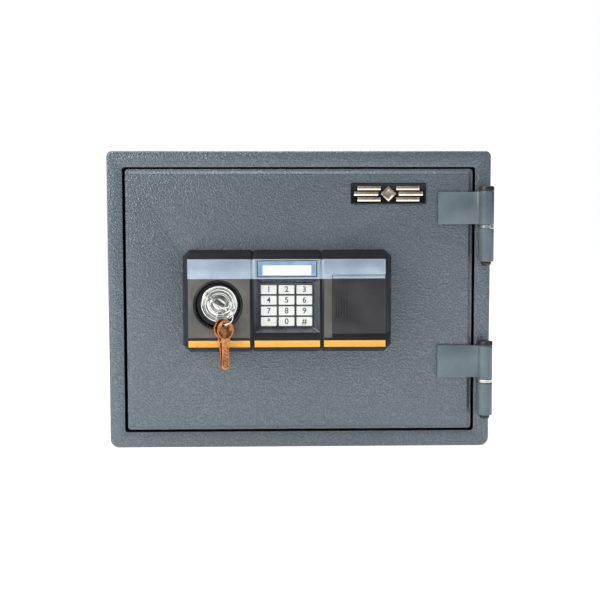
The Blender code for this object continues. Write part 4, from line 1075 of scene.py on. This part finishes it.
def lock_collar():
    """Chromed funnel turned in steps towards the keyhole."""
    low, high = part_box("lock_collar")
    centre = (low + high) / 2
    outer = (high.x - low.x) / 2
    front = low.y
    bore = 7.3 * MM
    steps = (
        (0.0, 1.3), (0.25, 0.6), (0.7, 0.15), (1.2, 0.0), (2.0, 0.1), (3.1, 0.5), (3.5, 0.8),
        (3.7, 1.9), (4.1, 2.1), (4.5, 1.7), (5.0, 1.6), (5.7, 1.8), (6.0, 2.3), (6.2, 3.2),
        (6.6, 3.5), (7.6, 3.2), (8.8, 3.3), (9.2, 2.8), (9.8, 2.6), (11.2, 2.9), (11.9, 3.2),
    )
    profile = [(bore, high.y), (outer, high.y)]
    profile += [(outer - inwards * MM, front + back * MM) for inwards, back in steps]
    profile += [(bore, front + 3.6 * MM), (bore, high.y)]
    collar = turned("lock_collar_turned", "Y", (centre.x, 0, centre.z), profile, 96)
    fit(smooth(collar, 30), CHROME, "door", "chrome", "lock_collar")


def key_in_lock():
    """The plug and the key that stands in it."""
    fit(reworked("key_plug", 0.25 * MM), CHROME, "key_core", "chrome", "key_plug")
    fit(reworked("inserted_key", 0.4 * MM, 3), NICKEL, "key_core", "steel", "inserted_key")


def wire_point(along):
    """A point of the ring's wire, measured along it from its lowest point."""
    level = Vector((math.cos(RING_TURN), math.sin(RING_TURN), 0))
    angle = along / RING_RADIUS
    spoke = math.sin(angle) * level - math.cos(angle) * Vector((0, 0, 1))
    return centre_of("key_ring") + RING_RADIUS * spoke


def split_ring():
    """Two turns of wire side by side."""
    wire = 0.42 * MM
    beside = 0.36 * MM
    turns = []
    for side in (-1, 1):
        deselect_all()
        bpy.ops.mesh.primitive_torus_add(
            major_radius=RING_RADIUS, minor_radius=wire, major_segments=64, minor_segments=14,
            location=(0, side * beside, 0), rotation=(math.pi / 2, 0, 0),
        )
        turns.append(settle(f"ring_turn_{side}"))
    ring = joined("split_ring", turns)
    turn(ring, math.degrees(RING_TURN), "Z")
    moved(ring, centre_of("key_ring"))
    fit(smooth(ring, 60), CHROME, "key_ring", "chrome", "key_ring")


def hanging_key(name):
    """Key blank: an oval bow with a raised rim, a shoulder and a dimpled blade.

    It is shaped flat round the point where the ring holds it.
    """
    half = 1.0 * MM
    hole = 3.6 * MM
    hole_z = -0.6 * MM
    length = 51.5 * MM
    top = 5.2 * MM
    bow_height = 20.5 * MM
    bow_width = 17.8 * MM
    bow_z = top - bow_height / 2
    bow = rod("bow", "Y", (0, -half, 0), (0, half, 0), 1.0 * MM, 56)
    work_on(bow)
    bow.scale = (bow_width / 2 / MM, 1, bow_height / 2 / MM)
    moved(bow, (0, 0, bow_z))
    for side in (-1, 1):
        push_field(
            bow, lambda middle, normal: normal.y * side > 0.9, (1.5 * MM, 0.4 * MM), -side * 0.28 * MM,
        )
    combine(bow, rod("bow_hole", "Y", (0, -5 * MM, hole_z), (0, 5 * MM, hole_z), hole, 32))
    blade = key_blade(top - bow_height + 1.2 * MM, top - length)
    combine(bow, blade, "UNION")
    key = round_edges(bow, 0.16 * MM, 2, 35)
    key.name = name
    return key


def key_blade(top, tip):
    """Flat blade with a milled channel, a bevelled tip and rows of dimples."""
    half = 0.95 * MM
    wide = 3.7 * MM
    shoulder = 5.2 * MM
    dimple = 1.25 * MM
    pitch = 1.75 * MM
    blade = block("blade", (-wide, -half, tip), (wide, half, top))
    round_corners(
        blade, 2.2 * MM, 2, lambda middle, along: runs_back(middle, along) and middle.z < tip + MM,
    )
    neck = block("neck", (-shoulder, -half, top - 4.2 * MM), (shoulder, half, top))
    combine(blade, neck, "UNION")
    channel = block(
        "channel", (-2.6 * MM, -half - MM, tip + 3 * MM), (-1.7 * MM, -half + 0.35 * MM, top + MM),
    )
    combine(blade, channel)
    for index in range(12):
        x = 2.3 * MM if index % 2 else -0.3 * MM
        z = tip + 2.8 * MM + pitch * index
        deselect_all()
        bpy.ops.mesh.primitive_uv_sphere_add(
            segments=16, ring_count=8, radius=dimple, location=(x, -half - 0.6 * MM, z),
        )
        combine(blade, settle("dimple"))
    return blade


def hanging_keys():
    """Two alike keys on the ring, the second a little behind and to the left."""
    first = hanging_key("hanging_key_front")
    second = copied(first, "hanging_key_behind")
    turn(second, -3, "Y")
    work = (
        (first, "spare_key", 22, wire_point(0)), (second, "second_key", 24, wire_point(-4 * MM)),
    )
    for key, node, angle, spot in work:
        turn(key, angle, "Z")
        moved(key, spot)
        fit(key, BRONZE, "spare_key", "brass", node)


# ---- Pieces that keep their shape -----------------------------------------------------------

def bolt_work():
    """Plates and bolts behind the door board get broken edges."""
    for node in ("bolt_carriage", "lock_plate", "crank", "dead_bar"):
        fit(reworked(node, 0.3 * MM), STEEL, body_of(node), "steel", node)
    for node in ("bolt_upper", "bolt_lower"):
        fit(reworked(node, 0.4 * MM, 3), CHROME, body_of(node), "chrome", node)


def plain_finishes():
    """The remaining frame pieces stay as they are and get their material."""
    looks = {
        "cabinet_insulation": FILLING, "door_insulation": FILLING, "fire_seal": FIRE_STRIP,
        "display_module": HOUSING_ABS, "keypad_mat": RUBBER, "circuit_board": LAMINATE,
        "battery_tray": HOUSING_ABS, "battery_1": SLEEVE, "battery_2": SLEEVE,
        "battery_3": SLEEVE, "battery_4": SLEEVE, "cylinder_body": STEEL,
        "solenoid": JAMB_ENAMEL, "solenoid_plunger": STEEL,
    }
    for node, finish in looks.items():
        piece = frame["nodes"][node]
        for slot in piece.material_slots:
            slot.material = finish


# ---- Studio -------------------------------------------------------------------------------

def studio_floor():
    """A wide sheet of paper under the safe."""
    deselect_all()
    bpy.ops.mesh.primitive_plane_add(size=16)
    floor = settle("studio_floor")
    floor.data.materials.append(paper_sweep())


def studio_world():
    """White room, brighter above; what the lens sees directly is plain white."""
    world = bpy.data.worlds.new("studio")
    bpy.context.scene.world = world
    world.use_nodes = True
    tree = world.node_tree
    back = tree.nodes["Background"]
    way = add(tree, "TexCoord")
    parts = add(tree, "SeparateXYZ", {"Vector": way.outputs["Generated"]})
    height = add(tree, "MapRange", {
        "Value": parts.outputs["Z"], "From Min": -1.0, "From Max": 1.0,
    })
    glow = add(tree, "ValToRGB", {"Fac": height.outputs["Result"]}, stops=(
        (0.0, "#8a8a8a"), (0.48, "#8e9297"), (0.56, "#b9bdc2"), (0.8, "#e9edf2"), (1.0, "#ffffff"),
    ))
    across = add(tree, "MapRange", {
        "Value": parts.outputs["X"], "From Min": -1.0, "From Max": 1.0,
    })
    side = add(tree, "ValToRGB", {"Fac": across.outputs["Result"]}, stops=(
        (0.0, "#ffffff"), (0.35, "#f4f6f8"), (0.6, "#c9c6c2"), (0.85, "#978a7b"), (1.0, "#85786a"),
    ))
    both = add(tree, "VectorMath", {
        0: glow.outputs["Color"], 1: side.outputs["Color"],
    }, operation="MULTIPLY")
    back.inputs["Strength"].default_value = 0.62
    tree.links.new(both.outputs["Vector"], back.inputs["Color"])
    plain = add(tree, "Background", {"Color": shade("#ffffff"), "Strength": 1.0})
    ray = add(tree, "LightPath")
    mix = add(tree, "MixShader", {
        0: ray.outputs["Is Camera Ray"], 1: back.outputs["Background"], 2: plain.outputs["Background"],
    })
    tree.links.new(mix.outputs["Shader"], tree.nodes["World Output"].inputs["Surface"])


def lamp(name, place, target, power, size, tint="#ffffff"):
    """A soft square lamp aimed at a point."""
    light = bpy.data.lights.new(name, "AREA")
    light.energy = power
    light.size = size
    light.color = shade(tint)[:3]
    item = bpy.data.objects.new(name, light)
    bpy.context.scene.collection.objects.link(item)
    item.location = place
    aim = Vector(target) - Vector(place)
    item.rotation_euler = aim.to_track_quat("-Z", "Y").to_euler()


def studio_lights():
    """The main lamp from the left, a broad one above, a weak one right and one behind."""
    middle = (0, -0.15, 0.16)
    lamp("key_light", (-1.5, -1.3, 1.1), middle, 26, 1.0, "#fffaf2")
    lamp("top_light", (-0.2, -0.3, 1.9), middle, 18, 1.2)
    lamp("fill_light", (1.6, -1.6, 0.7), middle, 3, 1.2, "#e8f1ff")
    lamp("back_light", (0.3, 1.8, 1.4), middle, 16, 1.4)


def studio_camera():
    """A long lens a little above the keypad, turned slightly to the right and down."""
    yaw, pitch, roll = (math.radians(angle) for angle in (1.215, 3.615, -0.124))
    forward = Vector((
        math.sin(yaw) * math.cos(pitch), math.cos(yaw) * math.cos(pitch), -math.sin(pitch),
    ))
    right = Vector((math.cos(yaw), -math.sin(yaw), 0))
    up = right.cross(forward)
    side = math.cos(roll) * right + math.sin(roll) * up
    top = -math.sin(roll) * right + math.cos(roll) * up
    lens = bpy.data.cameras.new("studio_camera")
    lens.lens = 58.53
    lens.sensor_width = 36
    camera = bpy.data.objects.new("studio_camera", lens)
    camera.matrix_world = Matrix((side, top, -forward)).transposed().to_4x4()
    camera.location = (-22.0 * MM, -1231.5 * MM, 226.6 * MM)
    bpy.context.scene.collection.objects.link(camera)
    bpy.context.scene.camera = camera


# ---- Whole safe ---------------------------------------------------------------------------

cabinet_sheets()
back_wall()
hinges()
door_sheets()
nameplate()
housing()
face_panels()
silver_band()
display()
stripes()
battery_cover()
buttons()
lock_dish()
lock_collar()
key_in_lock()
split_ring()
hanging_keys()
bolt_work()
plain_finishes()
studio_floor()
studio_world()
studio_lights()
studio_camera()
bpy.context.scene.view_settings.view_transform = "Standard"
